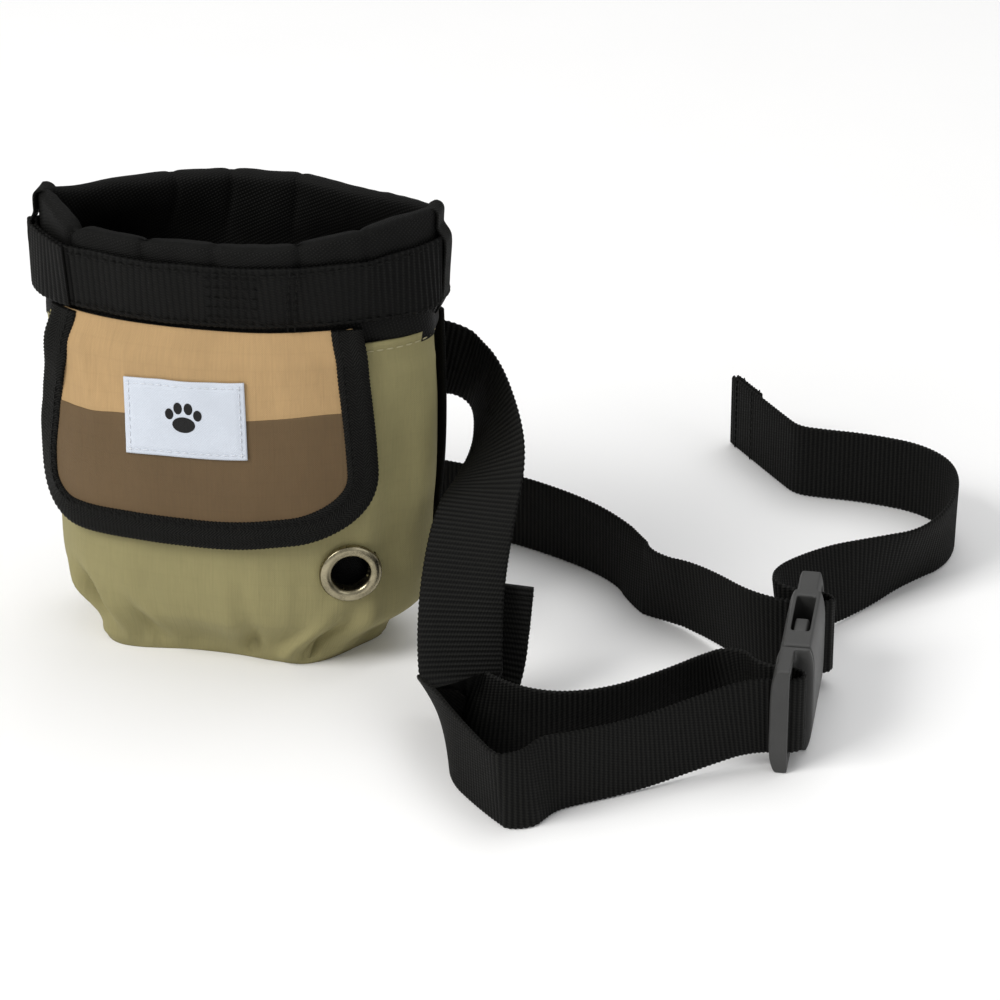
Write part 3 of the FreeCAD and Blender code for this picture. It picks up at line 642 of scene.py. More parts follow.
def moulded(name, colour):
    """Spark-eroded acetal, a little paler where it is rubbed."""
    finish = Finish(name, roughness=0.48, specular=0.45)
    fine = finish.cloud(0.35, 2.0, 0.6)
    broad = finish.cloud(9)
    base = finish.mix((fine * 0.4 + broad * 0.6).held(0.25, 0.75), shade(colour, 0.85), shade(colour, 1.2))
    return finish.done(base, fine, 0.03, 0.4 + broad * 0.14 + fine * 0.06)


def antique_brass(name, colour):
    finish = Finish(name, roughness=0.26, metallic=1.0)
    broad = finish.cloud(3.5)
    fine = finish.cloud(0.6, 3.0)
    base = finish.mix((broad * 0.7 + fine * 0.3).held(0.3, 0.7), shade(colour, 0.7), shade(colour, 1.15))
    return finish.done(base, fine, 0.02, 0.18 + broad * 0.2)


def thread(name, colour, specular=0.35):
    finish = Finish(name, roughness=0.6, specular=specular)
    x, y, z = finish.place()
    twist = (x + y + z).wave(0.5)
    return finish.done(finish.mix(twist, shade(colour, 0.75), shade(colour, 1.15)), twist, 0.05)


def brushed(name, colour, roughness=0.35):
    finish = Finish(name, roughness=roughness, metallic=1.0)
    fine = finish.cloud(0.5, 2.0, stretch=(1, 1, 8))
    return finish.done(finish.mix(fine, shade(colour, 0.8), colour), fine, 0.02)


def loop_pile(name, colour):
    finish = Finish(name, roughness=0.95, sheen=0.2)
    pile = finish.cloud(0.7, 3.0)
    return finish.done(finish.mix(pile, shade(colour, 0.5), shade(colour, 1.5)), pile, 0.4)


def table_top(name):
    finish = Finish(name, roughness=0.9, specular=0.1)
    fine = finish.cloud(60, 2.0)
    return finish.done(finish.mix(fine, (0.93, 0.93, 0.93), (0.95, 0.95, 0.95)))


made = {}


def finish_of(name):
    if name not in made:
        makers = {
            "olive": lambda: nylon("Olive nylon", tuple(bpy.context.scene.pouch_colours.olive)),
            "sand": lambda: nylon("Sand nylon", tuple(bpy.context.scene.pouch_colours.sand)),
            "brown": lambda: nylon("Brown nylon", tuple(bpy.context.scene.pouch_colours.brown)),
            "lining": lambda: oxford("Black lining", (0.0015, 0.0015, 0.0015), (0.005, 0.005, 0.005), 0.8),
            "collar": lambda: oxford("Black Oxford", (0.002, 0.002, 0.0018), (0.011, 0.011, 0.01)),
            # the webbing's lighter colour goes mostly on its rib tops as a painted highlight
            "belt": lambda: webbing("Belt webbing", (0.0006, 0.0006, 0.0005), (0.0095, 0.0095, 0.0084),
            BELT_RIB),
            "band": lambda: webbing("Band webbing", (0.0006, 0.0006, 0.0005), (0.0075, 0.0075, 0.0068),
            BAND_RIB),
            "binding": lambda: herringbone("Binding tape", (0.0005, 0.0005, 0.0004),
            (0.013, 0.013, 0.0115)),
            "label": lambda: label_weave("Woven label", tuple(bpy.context.scene.pouch_colours.label)),
            "mark": lambda: nylon("Printed mark", (0.012, 0.012, 0.012)),
            "plastic": lambda: moulded("Moulded acetal", tuple(bpy.context.scene.pouch_colours.buckle)),
            "brass": lambda: antique_brass("Antique brass", tuple(bpy.context.scene.pouch_colours.eyelet)),
            "olive_thread": lambda: thread("Olive thread", (0.42, 0.38, 0.22)),
            "white_thread": lambda: thread("Pale thread", (0.75, 0.78, 0.83)),
            "black_thread": lambda: thread("Black thread", (0.004, 0.004, 0.0036), 0.12),
            "nickel": lambda: brushed("Nickel", (0.6, 0.6, 0.61)),
            "pile": lambda: loop_pile("Hook and loop", (0.006, 0.006, 0.0056)),
            "board": lambda: moulded("Base board", (0.03, 0.03, 0.03)),
            "table": lambda: table_top("Table"),
        }
        made[name] = makers[name]()
    return made[name]


def ride(piece, body, slot=None, *nodes):
    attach(piece, body)
    if nodes:
        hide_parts(*nodes)
    return piece


# ---------------------------------------------------------------- the belt's way, in mm
# Each point is the webbing's centre, then the direction from its lower to its upper edge.
NEAR_ROUTE = (
    (48, 29.6, 81, UP),
    (57, 29.6, 80.3, UP),
    (65, 28, 77.5, (0.2, -0.2, 0.95)),
    (70.5, 20, 74.5, (0.42, -0.4, 0.82)),
    (74.5, 7, 68.5, (0.62, -0.5, 0.6)),
    (75.5, -7, 62, (0.88, -0.25, 0.4)),
    (72.5, -20, 54, (0.97, 0.1, 0.2)),
    (71.5, -36, 40, (1, 0, 0)),
    (72.5, -47, 25.5, (0.95, 0, -0.3)),
    (75, -56.5, 14.5, (0.5, -0.4, -0.75)),
    (85, -62.5, 12.5, (0, -0.1, -1)),
    (101, -67, 12.5, DOWN),
    (118, -62, 12.5, DOWN),
    (133, -49, 12.5, DOWN),
    (145, -37, 13, DOWN),
    (155, -39, 15.5, DOWN),
    (160.5, -48.9, 17, DOWN),
    (173.6, -49.4, 17, DOWN),
    (173.6, -56.2, 17, DOWN),
    (159, -57, 17, DOWN),
    (145, -65, 14.5, DOWN),
    (128, -77, 12.5, DOWN),
    (110, -87.8, 12.5, DOWN),
    (105.5, -90.5, 12.5, (0.08, -0.1, -1)),
    (103.2, -94, 12.5, (0.12, -0.12, -1)),
    (101, -98.5, 12.4, (0.14, -0.06, -1)),
    (95.5, -101.2, 12.4, (0.14, 0, -1)),
    (92, -100.4, 12.4, (0.14, 0, -1)),
    (84, -91, 12.5, (0.05, 0, -1)),
    (76, -80.5, 12.5, DOWN),
    (71.5, -69, 12.3, (0.2, 0, -0.98)),
    (69, -58, 10.8, (0.6, -0.1, -0.8)),
    (71.5, -49, 8, (0.93, -0.25, -0.28)),
    (76.5, -42.5, 8.5, (1, -0.1, -0.05)),
    (78.5, -38, 17, (1, 0, 0)),
    (79, -34, 27, (1, 0, 0)),
    (79.5, -30, 38, (1, 0, 0.05)),
)
FAR_ROUTE = (
    (-48, 29.6, 81, UP),
    (-58, 29.6, 81, UP),
    (-63, 45, 77, UP),
    (-52, 60, 66, UP),
    (-32, 67, 48, UP),
    (-8, 69.5, 29, UP),
    (16, 70, 15, UP),
    (42, 67.5, 12.5, UP),
    (70, 61.5, 12.5, UP),
    (94, 50, 12.5, UP),
    (108, 39, 12.5, (0.1, -0.12, 1)),
    (114.5, 29, 12, (0.36, -0.42, 0.84)),
    (121, 20, 12.5, (0.3, -0.35, 0.9)),
    (137, 11, 14, (0, -0.1, 1)),
    (156.5, -11.2, 17, UP),
    (177.6, -11.2, 17, UP),
    (177.6, -5.1, 17, UP),
    (160.5, -3.6, 17, UP),
    (161, 11, 15, (-0.3, -0.1, 0.95)),
    (172, 26, 13, (-0.12, 0.3, 0.95)),
    (186, 38.5, 12.5, (-0.02, -0.1, 1)),
    (198, 51, 12, (0.1, -0.42, 0.9)),
    (208, 67, 12.5, (0.05, -0.15, 1)),
    (208, 87, 12.5, UP),
    (197, 99.5, 12.5, UP),
    (179, 104, 12.5, UP),
    (163, 105, 12.5, UP),
    (156, 106, 12.5, UP),
    (151, 112, 12.5, UP),
    (132, 137, 12.5, UP),
)


def nurbs_line(points):
    """The points of a NURBS spline with these control points, in mm."""
    curve = bpy.data.curves.new("line", "CURVE")
    curve.dimensions = "3D"
    spline = curve.splines.new("NURBS")
    spline.points.add(len(points) - 1)
    for control, point in zip(spline.points, points):
        control.co = (*(k * MM for k in point), 1.0)
    spline.order_u = 3
    spline.use_endpoint_u = True
    spline.resolution_u = 32
    holder = bpy.data.objects.new("line", curve)
    bpy.context.scene.collection.objects.link(holder)
    bpy.context.view_layer.update()
    mesh = bpy.data.meshes.new_from_object(holder)
    found = np.array([v.co for v in mesh.vertices], float) / MM
    bpy.data.objects.remove(holder)
    bpy.data.curves.remove(curve)
    bpy.data.meshes.remove(mesh)
    return found


def strap_line(route, half):
    """The strap's centre line and its edge direction, read from two NURBS splines."""
    centre = np.array([point[:3] for point in route], float)
    edge = np.array([np.array(point[3], float) / np.linalg.norm(point[3]) for point in route])
    line = nurbs_line(centre)
    rim = nurbs_line(centre + edge * half)
    return resampled(BELT_RIB / 4, line, rim - line)


class PouchSizes(bpy.types.PropertyGroup):
    belt_width: bpy.props.FloatProperty(
        name="Belt width", description="Width of the belt's webbing", default=0.025, unit="LENGTH")
    belt_thickness: bpy.props.FloatProperty(
        name="Belt thickness", description="Thickness of the belt's webbing", default=0.0016, unit="LENGTH")
    binding_width: bpy.props.FloatProperty(
        name="Binding width", description="Width of the tape that binds the flap", default=0.0095,
        unit="LENGTH")
    label_width: bpy.props.FloatProperty(
        name="Label width", description="Width of the sewn label", default=0.0365, unit="LENGTH")
    label_height: bpy.props.FloatProperty(
        name="Label height", description="Height of the sewn label", default=0.0243, unit="LENGTH")
    seam_height: bpy.props.FloatProperty(
        name="Seam height", description="Height of the seam between the flap's two panels",
        default=0.084, unit="LENGTH")


class PouchColours(bpy.types.PropertyGroup):
    olive: bpy.props.FloatVectorProperty(
        name="Bag", description="Colour of the bag and pocket", subtype="COLOR",
        default=(0.278, 0.248, 0.117))
    sand: bpy.props.FloatVectorProperty(
        name="Upper flap", description="Colour of the flap's upper panel", subtype="COLOR",
        default=(0.45, 0.295, 0.142))
    brown: bpy.props.FloatVectorProperty(
        name="Lower flap", description="Colour of the flap's lower panel", subtype="COLOR",
        default=(0.128, 0.083, 0.041))
    label: bpy.props.FloatVectorProperty(
        name="Label", description="Colour of the sewn label", subtype="COLOR", default=(0.6, 0.645, 0.72))
    buckle: bpy.props.FloatVectorProperty(
        name="Buckle", description="Colour of the buckle's plastic", subtype="COLOR",
        default=(0.035, 0.035, 0.034))
    eyelet: bpy.props.FloatVectorProperty(
        name="Eyelet", description="Colour of the eyelet's metal", subtype="COLOR",
        default=(0.36, 0.32, 0.215))


def aim(thing, target):
    thing.rotation_euler = (Vector(target) - thing.location).to_track_quat("-Z", "Y").to_euler()


class POUCH_OT_stage(bpy.types.Operator):
    """Sets up the table, the studio lights and the camera"""

    bl_idname = "pouch.stage"
    bl_label = "Stage"

    def execute(self, context):
        scene = context.scene
        scene.view_settings.view_transform = "Standard"
        size = 4.0
        mesh = bpy.data.meshes.new("table")
        mesh.from_pydata([(-size, -size, 0), (size, -size, 0), (size, size, 0), (-size, size, 0)], [],
            [(0, 1, 2, 3)])
        table = finished("table", mesh, finish_of("table"))
        world = bpy.data.worlds.new("Studio")
        world.use_nodes = True
        world.node_tree.nodes["Background"].inputs["Color"].default_value = (1.0, 1.0, 1.0, 1.0)
        world.node_tree.nodes["Background"].inputs["Strength"].default_value = 0.42
        scene.world = world
        for name, place, power, spread, tint in (
            ("key", (-0.85, -0.75, 1.1), 17.5, 0.75, (1.0, 0.99, 0.97)),
            ("top", (0.25, 0.55, 1.4), 8.0, 1.1, (1.0, 1.0, 1.0)),
            ("fill", (1.1, -0.7, 0.7), 2.4, 0.9, (0.98, 0.99, 1.0)),
        ):
            light = bpy.data.lights.new(name, "AREA")
            light.energy = power
            light.size = spread
            light.color = tint
            lamp = bpy.data.objects.new(name, light)
            scene.collection.objects.link(lamp)
            lamp.location = place
            aim(lamp, (0.05, 0.0, 0.06))
        lens = bpy.data.cameras.new("camera")
        lens.lens = 165.6
        lens.sensor_width = 36.0
        lens.clip_end = 20.0
        camera = bpy.data.objects.new("camera", lens)
        scene.collection.objects.link(camera)
        camera.location = (0.2639, -1.1797, 0.7112)
        camera.rotation_euler = Vector((-0.1368, 0.8638, -0.4848)).to_track_quat("-Z", "Y").to_euler()
        scene.camera = camera
        return {"FINISHED"}


def box_stitch(line, across, start, end, inset, lift, width):
    """A sewn box with its diagonals on a strap, between two places along it."""
    heading = unit(np.gradient(line, axis=0))
    normal = np.cross(heading, across)
    run = run_lengths(line)

    def at(place, side):
        k = int(np.argmin(np.abs(run - place)))
        return line[k] + across[k] * side * (width / 2 - inset) + normal[k] * lift

    def row(a, b):
        return [at(a[0] + (b[0] - a[0]) * t, a[1] + (b[1] - a[1]) * t) for t in np.linspace(0, 1, 12)]

    corners = ((start, -1), (end, -1), (end, 1), (start, 1))
    rows = [row(corners[k], corners[(k + 1) % 4]) for k in range(4)]
    return rows + [row(corners[0], corners[2]), row(corners[1], corners[3])]


class POUCH_OT_belt(bpy.types.Operator):
    """Lays the belt's two halves from the loops through the buckle to their hemmed ends"""

    bl_idname = "pouch.belt"
    bl_label = "Belt"

    def execute(self, context):
        sizes = context.scene.pouch_sizes
        width, thick = sizes.belt_width / MM, sizes.belt_thickness / MM
        cloth = finish_of("belt")
        for side, route, nodes in (
            ("near", NEAR_ROUTE, ("drop", "run", "adjuster", "tail", "tail_end")),
            ("far", FAR_ROUTE, ("return", "run", "adjuster", "tail")),
        ):
            line, across = strap_line(route, width / 2)
            strap = tape(f"belt_{side}", line, across, width, thick, cloth, BELT_RIB, 0.34, 0.22)
            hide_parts(*(f"belt_{side}_{node}" for node in nodes))
            heading = unit(np.gradient(line, axis=0))
            turned = unit(across - heading * (across * heading).sum(axis=1)[:, None])
            normal = np.cross(heading, turned)
            start = int(len(line) - 14.5 / (BELT_RIB / 4))
            lifted = line[start:] + normal[start:] * 1.55
            hem = tape(f"belt_{side}_fold", lifted, turned[start:], width - 0.3, thick, cloth, BELT_RIB,
                0.34, 0.2)
            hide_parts(f"belt_{side}_hem")
            rows = []
            for back in (3.0, 12.5):
                k = int(len(line) - back / (BELT_RIB / 4))
                for lift in (2.25, -0.75):
                    rows.append([line[k] + turned[k] * a + normal[k] * lift
                        for a in np.linspace(-11.5, 11.5, 10)])
            seam = stitches(f"belt_{side}_seam", rows, finish_of("black_thread"), 2.2, 1.9, 0.28)
            if side == "near":
                for piece in (strap, hem, seam):
                    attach(piece, "pouch")
            else:
                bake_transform(strap)
                for piece in (hem, seam):
                    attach(piece, "buckle_far_half")
        along = np.linspace(-LOOP_END, LOOP_END, int(2 * LOOP_END / (BELT_RIB / 4)))
        level_with = np.ones(len(along))
        line = np.stack((along, LOOP_DEPTH * level_with, LOOP_HEIGHT * level_with), axis=1)
        across = np.tile(np.array((0.0, 0.0, 1.0)), (len(along), 1))
        held = tape("belt_through", line, across, width, thick, cloth, BELT_RIB, 0.34, 0.22)
        ride(held, "pouch", "webbing", "belt_through_loops")
        return {"FINISHED"}


SEAT = np.array((36.0, -23.314, 34.0))
EYELET_AXIS = np.array((0.333807, -0.942641, 0.0))


def ring_rows(profile, count, relief=None):
    """Rings of the wall for a profile of (height, out) steps, with cloth lengths in mm."""
    share = np.arange(count) / count
    rings, uvs = [], []
    travelled = 0.0
    before = None
    for z, out in profile:
        ring = wall(share, z, out)
        if relief is not None:
            ring = relief(ring, share, z, out)
        if before is not None:
            travelled += float(np.linalg.norm(ring - before, axis=1).mean())
        before = ring
        rings.append(ring)
        uvs.append(np.stack((run_lengths(ring), np.full(count, travelled)), axis=1))
    return rings, uvs


def outward_of(ring):
    along = np.roll(ring, -1, axis=0) - np.roll(ring, 1, axis=0)
    flat = np.stack((along[:, 1], -along[:, 0], np.zeros(len(ring))), axis=1)
    return unit(flat)


def dented(ring, share, z):
    """The bag and lining give way where the pocket's cloth falls in at the sides."""
    s = (share - 0.75) * 2 * FRONT_RUN
    dent = np.array([min(pocket_relief(k, z), 0.0) if 36 < abs(k) < 74 else 0.0 for k in s])
    return ring + outward_of(ring) * (dent * 1.1 - 0.4 * (dent < -0.3))[:, None]


class POUCH_OT_bag(bpy.types.Operator):
    """Sews the outer bag and its lining"""

    bl_idname = "pouch.bag"
    bl_label = "Bag and lining"

    def execute(self, context):
        def sag(ring, share, z, out):
            push = np.array([0.9 * grain(x + y, z * 0.6, 22, 1.4) + 0.35 * grain(x - y, z * 0.25, 7, 6.2)
                for x, y in ring[:, :2]])
            moved = ring + outward_of(ring) * (push * smooth(0, 14, z) * smooth(118, 96, z))[:, None]
            return dented(moved, share, z)

        heights = np.concatenate(([0.05, 0.5, 1.4, 2.8, 4.5], np.linspace(6.5, 115.5, 62)))
        outside = [(z, -0.6 * (1 - smooth(0, 2.5, z))) for z in heights]
        inside = [(z, -1.0) for z in heights[::-3] if z > 1.2]
        rings, uvs = ring_rows(outside + inside, 260, sag)
        bag = rings_shell("bag", rings, uvs, finish_of("olive"))
        bag.data.materials.append(finish_of("lining"))
        for face in bag.data.polygons:
            x, y, z = face.center / MM
            if y < -4.5 and z > 14:
                face.material_index = 1
        ride(bag, "pouch", "olive_cloth", "outer_bag")

        def crumple(ring, share, z, out):
            push = np.array([0.7 * grain(x * 1.2 + y, z * 0.5, 14, 4.4) for x, y in ring[:, :2]])
            return dented(ring + outward_of(ring) * (push - 0.5)[:, None], share, z)

        profile = [(z, -1.9) for z in np.linspace(2.8, 138, 40)] + [(z, -2.5)
            for z in np.linspace(137.5, 3.4, 40)]
        rings, uvs = ring_rows(profile, 160, crumple)
        ride(rings_shell("lining", rings, uvs, finish_of("lining")), "pouch", "black_lining", "lining")
        return {"FINISHED"}


class POUCH_OT_pocket(bpy.types.Operator):
    """Sews the front pocket with its topstitched edge and the hole for the eyelet"""

    bl_idname = "pouch.pocket"
    bl_label = "Front pocket"

    def execute(self, context):
        rows = np.concatenate(([0.05, 0.5, 1.2, 2.2, 3.4], np.linspace(4.6, 106.2, 98)))
        half = FRONT_RUN / 2 * 0.985
        columns = np.linspace(-half, half, 150)
        grid, uv = [], []
        for z in rows:
            depth = 1.3 - 1.2 * float(smooth(2.5, 0, z)) - 0.9 * float(smooth(96, 103, z))
            ring = wall(front_share(columns), z, depth, 1.0)
            push = np.array([pocket_relief(s, z) for s in columns]) * (1
                - smooth(0.9, 1.0, np.abs(columns) / half))
            side = level_normals(ring)
            push *= smooth(0, 4, z)
            hem = 0.3 * float(smooth(101.2, 101.8, z))
            grid.append(ring + side * (push + hem)[:, None])
            uv.append(np.stack((columns, np.full(len(columns), z)), axis=1))
        pocket = panel("pocket", grid, uv, 1.0, finish_of("olive"), (SEAT, EYELET_AXIS, 6.2))
        ride(pocket, "pouch", "olive_cloth", "front_pocket")
        grid = np.array(grid)
        row = grid[int(np.argmin(np.abs(rows - TOPSTITCH_HEIGHT)))]
        lines = [row + level_normals(row) * 0.12]
        seam = stitches("pocket_topstitch", lines, finish_of("olive_thread"), 3.0, 2.3, 0.26)
        ride(seam, "pouch", "olive_cloth")
        patch = []
        for z in PATCH_ROWS:
            ring = wall(front_share(PATCH_COLUMNS), z, 1.85, 1.0)
            push = np.array([pocket_relief(s, z) for s in PATCH_COLUMNS])
            patch.append(ring + level_normals(ring) * push[:, None])
        uv = [[(s, z) for s in PATCH_COLUMNS] for z in PATCH_ROWS]
        loops = panel("pocket_loops", patch, uv, 0.55, finish_of("pile"))
        ride(loops, "pouch", "hook_and_loop", "pocket_loop_patch")
        return {"FINISHED"}


class POUCH_OT_collar(bpy.types.Operator):
    """Sews the folded collar, its webbing band, the corner bindings and the seam tabs"""

    bl_idname = "pouch.collar"
    bl_label = "Collar and band"

    def execute(self, context):
        places = np.array([crease[0] for crease in RIM_CREASES])
        strength = np.array([crease[3] for crease in RIM_CREASES])

        def fold(ring, share, z, out):
            gaps = np.abs((share[:, None] - places[None, :] + 0.5) % 1.0 - 0.5)
            gap, nearest = gaps.min(axis=1), gaps.argmin(axis=1)
            high = float(smooth(116, 134, z))
            pinch = np.exp(-((gap / 0.0045) ** 2)) * strength[nearest] * high
            soft = np.array([0.6 * grain(x + y, z * 0.7, 13, 7.7) + 0.25 * grain(x - y, z, 5, 2.7) for x,
                y in ring[:, :2]])
            sign = 1.0 if out > -1.0 else -0.6
            moved = ring + outward_of(ring) * ((0.25 * smooth(0.003, 0.02, gap) + soft
                - pinch * 0.9) * sign)[:, None]
            notch = 2.2 * np.exp(-(((share - 0.583) / 0.012) ** 2)) - 1.6 * np.exp(-(((share
                - 0.508) / 0.03) ** 2))
            moved[:, 2] += float(smooth(130, 141, z)) * (soft * 0.9 - pinch * 0.35 - notch)
            return moved

        outer = [(z, 0.75) for z in np.linspace(103.5, 112, 4)] + [(z, 1.3)
            for z in np.linspace(114, 139.0, 20)]
        top = [(139.9, 1.2), (140.6, 0.8), (141.0, 0.0), (141.1, -1.0), (140.9, -2.1), (140.3, -3.0),
            (139.4, -3.5)]
        inner = [(z, -3.7) for z in np.linspace(138, 112, 18)]
        back = [(z, -2.9) for z in np.linspace(112, 137, 6)] + [(137.5, -0.6)] + [(z, 0.1)
            for z in np.linspace(136, 103.5, 8)]
        rings, uvs = ring_rows(outer + top + inner + back, COLLAR_COLUMNS, fold)
        collar = rings_shell("collar", rings, uvs, finish_of("collar"), (False, False))
        ride(collar, "pouch", "black_cloth", "rim_collar")

        share = np.linspace(0, 1, 1400, endpoint=False)
        middle = wall(share, 122.0, 2.5)
        wave = np.array([0.7 * grain(x + y, 0.0, 17, 9.9) for x, y in middle[:, :2]])
        puff = np.array([0.55 * grain(x - y, 0.0, 12, 4.9) for x, y in middle[:, :2]])
        middle = middle + outward_of(middle) * (puff + 0.25)[:, None]
        middle[:, 2] += wave * 0.7
        above = wall(share, 130.0, 2.5) - wall(share, 114.0, 2.5)
        closed = np.vstack((middle, middle[:1]))
        run = run_lengths(closed)
        count = int(round(run[-1] / BAND_RIB)) * 6
        places = np.linspace(0, run[-1], count, endpoint=False)
        above = np.vstack((above, above[:1]))
        line, rise = read_at(places, run, closed), read_at(places, run, above)
        band = tape("band", line, rise, 20.5, 1.5, finish_of("band"), run[-1] / (count / 6), 0.36, 0.15,
            True)
        ride(band, "pouch", "webbing", "collar_webbing")

        lines = [wall(np.linspace(0, 1, 500), height, 3.5) for height in (113.4, 130.6)]
        rows = stitches("band_stitches", lines, finish_of("black_thread"), 2.8, 2.0, 0.3)
        ride(rows, "pouch", "webbing")

        over_rim = rings[4:len(outer + top) + 9]
        for side, place, facing in (("right", 0.006, -1.0), ("left", 0.503, 1.0)):
            column = int(round(place * COLLAR_COLUMNS)) % COLLAR_COLUMNS
            facing_out = outward_of(rings[10])[column]
            climb = []
            for z in np.linspace(109.0, 131.8, 11):
                out = np.interp(z, (109, 112, 115, 129, 131.8), (1.4, 3.2, 3.75, 3.6, 3.2))
                climb.append(wall(np.array((column / COLLAR_COLUMNS,)), z, float(out))[0])
            hug = np.array([ring[column] for ring in over_rim])
            rise = np.gradient(hug, axis=0)
            along = np.array((0.0, 0.0, 1.0))
            away = np.cross(rise, np.cross(facing_out, along))
            away = unit(away) * np.sign((unit(away)[2] @ facing_out))
            hug = (hug + away * 0.3)[16:]
            line = resampled(0.6, nurbs_line(np.vstack((climb, hug))))[0]
            across = np.tile(np.array((0.12 * facing, facing, 0.0)), (len(line), 1))
            strip = tape(f"corner_binding_{side}", line, across, 6.6, 0.7, finish_of("binding"))
            ride(strip, "pouch", "binding_tape", f"side_binding_{side}")
        share = np.linspace(0.497, 0.584, 260)
        row = wall(share, 122.0, 4.15)
        row = row + level_normals(row) * np.array([0.4 * grain(x, y, 6, 3.3) for x, y in row[:, :2]])[:,
            None]
        rise = wall(share, 130.0, 4.0) - wall(share, 114.0, 4.0)
        line, rise = resampled(BAND_RIB / 6, row, rise)
        end = tape("band_end", line, rise, 20.8, 1.3, finish_of("band"), BAND_RIB, 0.3, 0.2)
        ride(end, "pouch", "webbing")
        rows = []
        for s in (20.0, 22.2):
            share = float(front_share(s))
            rows.append([wall(np.array((share,)), z, 3.75)[0] for z in np.linspace(112.6, 131.4, 16)])
        for z in np.linspace(115.5, 128.5, 5):
            rows.append(wall(front_share(np.linspace(-4.0, 10.0, 16)), z, 3.7))
        ride(stitches("band_tacks", rows, finish_of("black_thread"), 2.6, 2.0, 0.26), "pouch", "webbing")
        for node in ("rim_magnet_front", "rim_magnet_back"):
            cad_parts[node].data.materials.clear()
            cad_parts[node].data.materials.append(finish_of("nickel"))
        return {"FINISHED"}


FLAP_LEFT = -59.2
FLAP_RIGHT = 43.4
FLAP_LOW = 42.2
FLAP_TOP = 110.6
LEFT_CORNER = 15.0
RIGHT_CORNER = 25.0


def flap_lean(s, z):
    """The flap grows wider downwards."""
    return smooth(110, 58, z) * np.interp(s, (-55, 40), (-6.0, 2.8))


def flap_edges(z, inset=0.0):
    """The flap's left and right edges at one height, in mm along the cloth."""
    pulls = []
    for radius in (LEFT_CORNER - inset, RIGHT_CORNER - inset):
        rise = min(max(z - FLAP_LOW - inset, 0.0), radius)
        pulls.append(radius - math.sqrt(max(radius * radius - (radius - rise) ** 2, 0.0)))
    left, right = FLAP_LEFT + inset + pulls[0], FLAP_RIGHT - inset - pulls[1]
    return left + float(flap_lean(left, z)), right + float(flap_lean(right, z))


def hem_rise(s, z):
    """The lower edge hangs lowest left of the middle and rises to the right."""
    return (3.4 * smooth(-6, 38, s) - 1.2 * hill(s, -46, 16)) * smooth(70, 45, z)


def seam_rise(s, z):
    """The seam between the panels runs up to the right."""
    return (3.2 * smooth(-4, 36, s) - 2.4 * smooth(-16, -46, s)) * hill(z, 84.0, 16.0)


def flap_row(spread, z, out):
    """A row of the flap's cloth, which curls in under the band at its top."""
    tuck = float(smooth(101.0, 111.2, z))
    depth = 3.9 * (1 - tuck) + 2.3 * tuck + out
    row = wall(front_share(spread), z, depth, 1.0 - 0.85 * tuck)
    above = wall(front_share(spread), z + 1.0, depth, 1.0 - 0.85 * tuck)
    row = row + (above - row) * (hem_rise(spread, z) + seam_rise(spread, z))[:, None]
    push = np.array([flap_relief(s, z) for s in spread]) * (1 - tuck)
    return row + level_normals(row) * push[:, None]


def flap_point(s, z, out):
    return flap_row(np.array((s - 0.5, s, s + 0.5)), z, out)[1]


def flap_panel(name, low, high, out, thickness, finish, inset):
    rows = np.linspace(low, high, max(int((high - low) / 0.8), 8))
    grid, uv = [], []
    for z in rows:
        left, right = flap_edges(z, inset)
        spread = np.linspace(left, right, 124)
        grid.append(flap_row(spread, z, out))
        uv.append([(s, z) for s in spread])
    return panel(name, grid, uv, thickness, finish)


def flap_outline(inset, steps=760):
    """The flap's edge, set in by some mm, from its top left round to its top right."""
    left, right, low = FLAP_LEFT + inset, FLAP_RIGHT - inset, FLAP_LOW + inset
    first, last = LEFT_CORNER - inset, RIGHT_CORNER - inset
    turn = np.linspace(0.03, math.pi / 2, 40)
    points = [(left, z) for z in np.linspace(FLAP_TOP, low + first, 60)]
    points += [(left + first - first * math.cos(a), low + first - first * math.sin(a)) for a in turn]
    points += [(s, low) for s in np.linspace(left + first + 1, right - last - 1, 70)]
    points += [(right - last + last * math.cos(a), low + last - last * math.sin(a)) for a in turn[::-1]]
    points += [(right, z) for z in np.linspace(low + last, FLAP_TOP, 60)]
    points = np.array(points, float)
    points[:, 0] += flap_lean(points[:, 0], points[:, 1])
    return by_length(points, np.linspace(0, 1, steps))


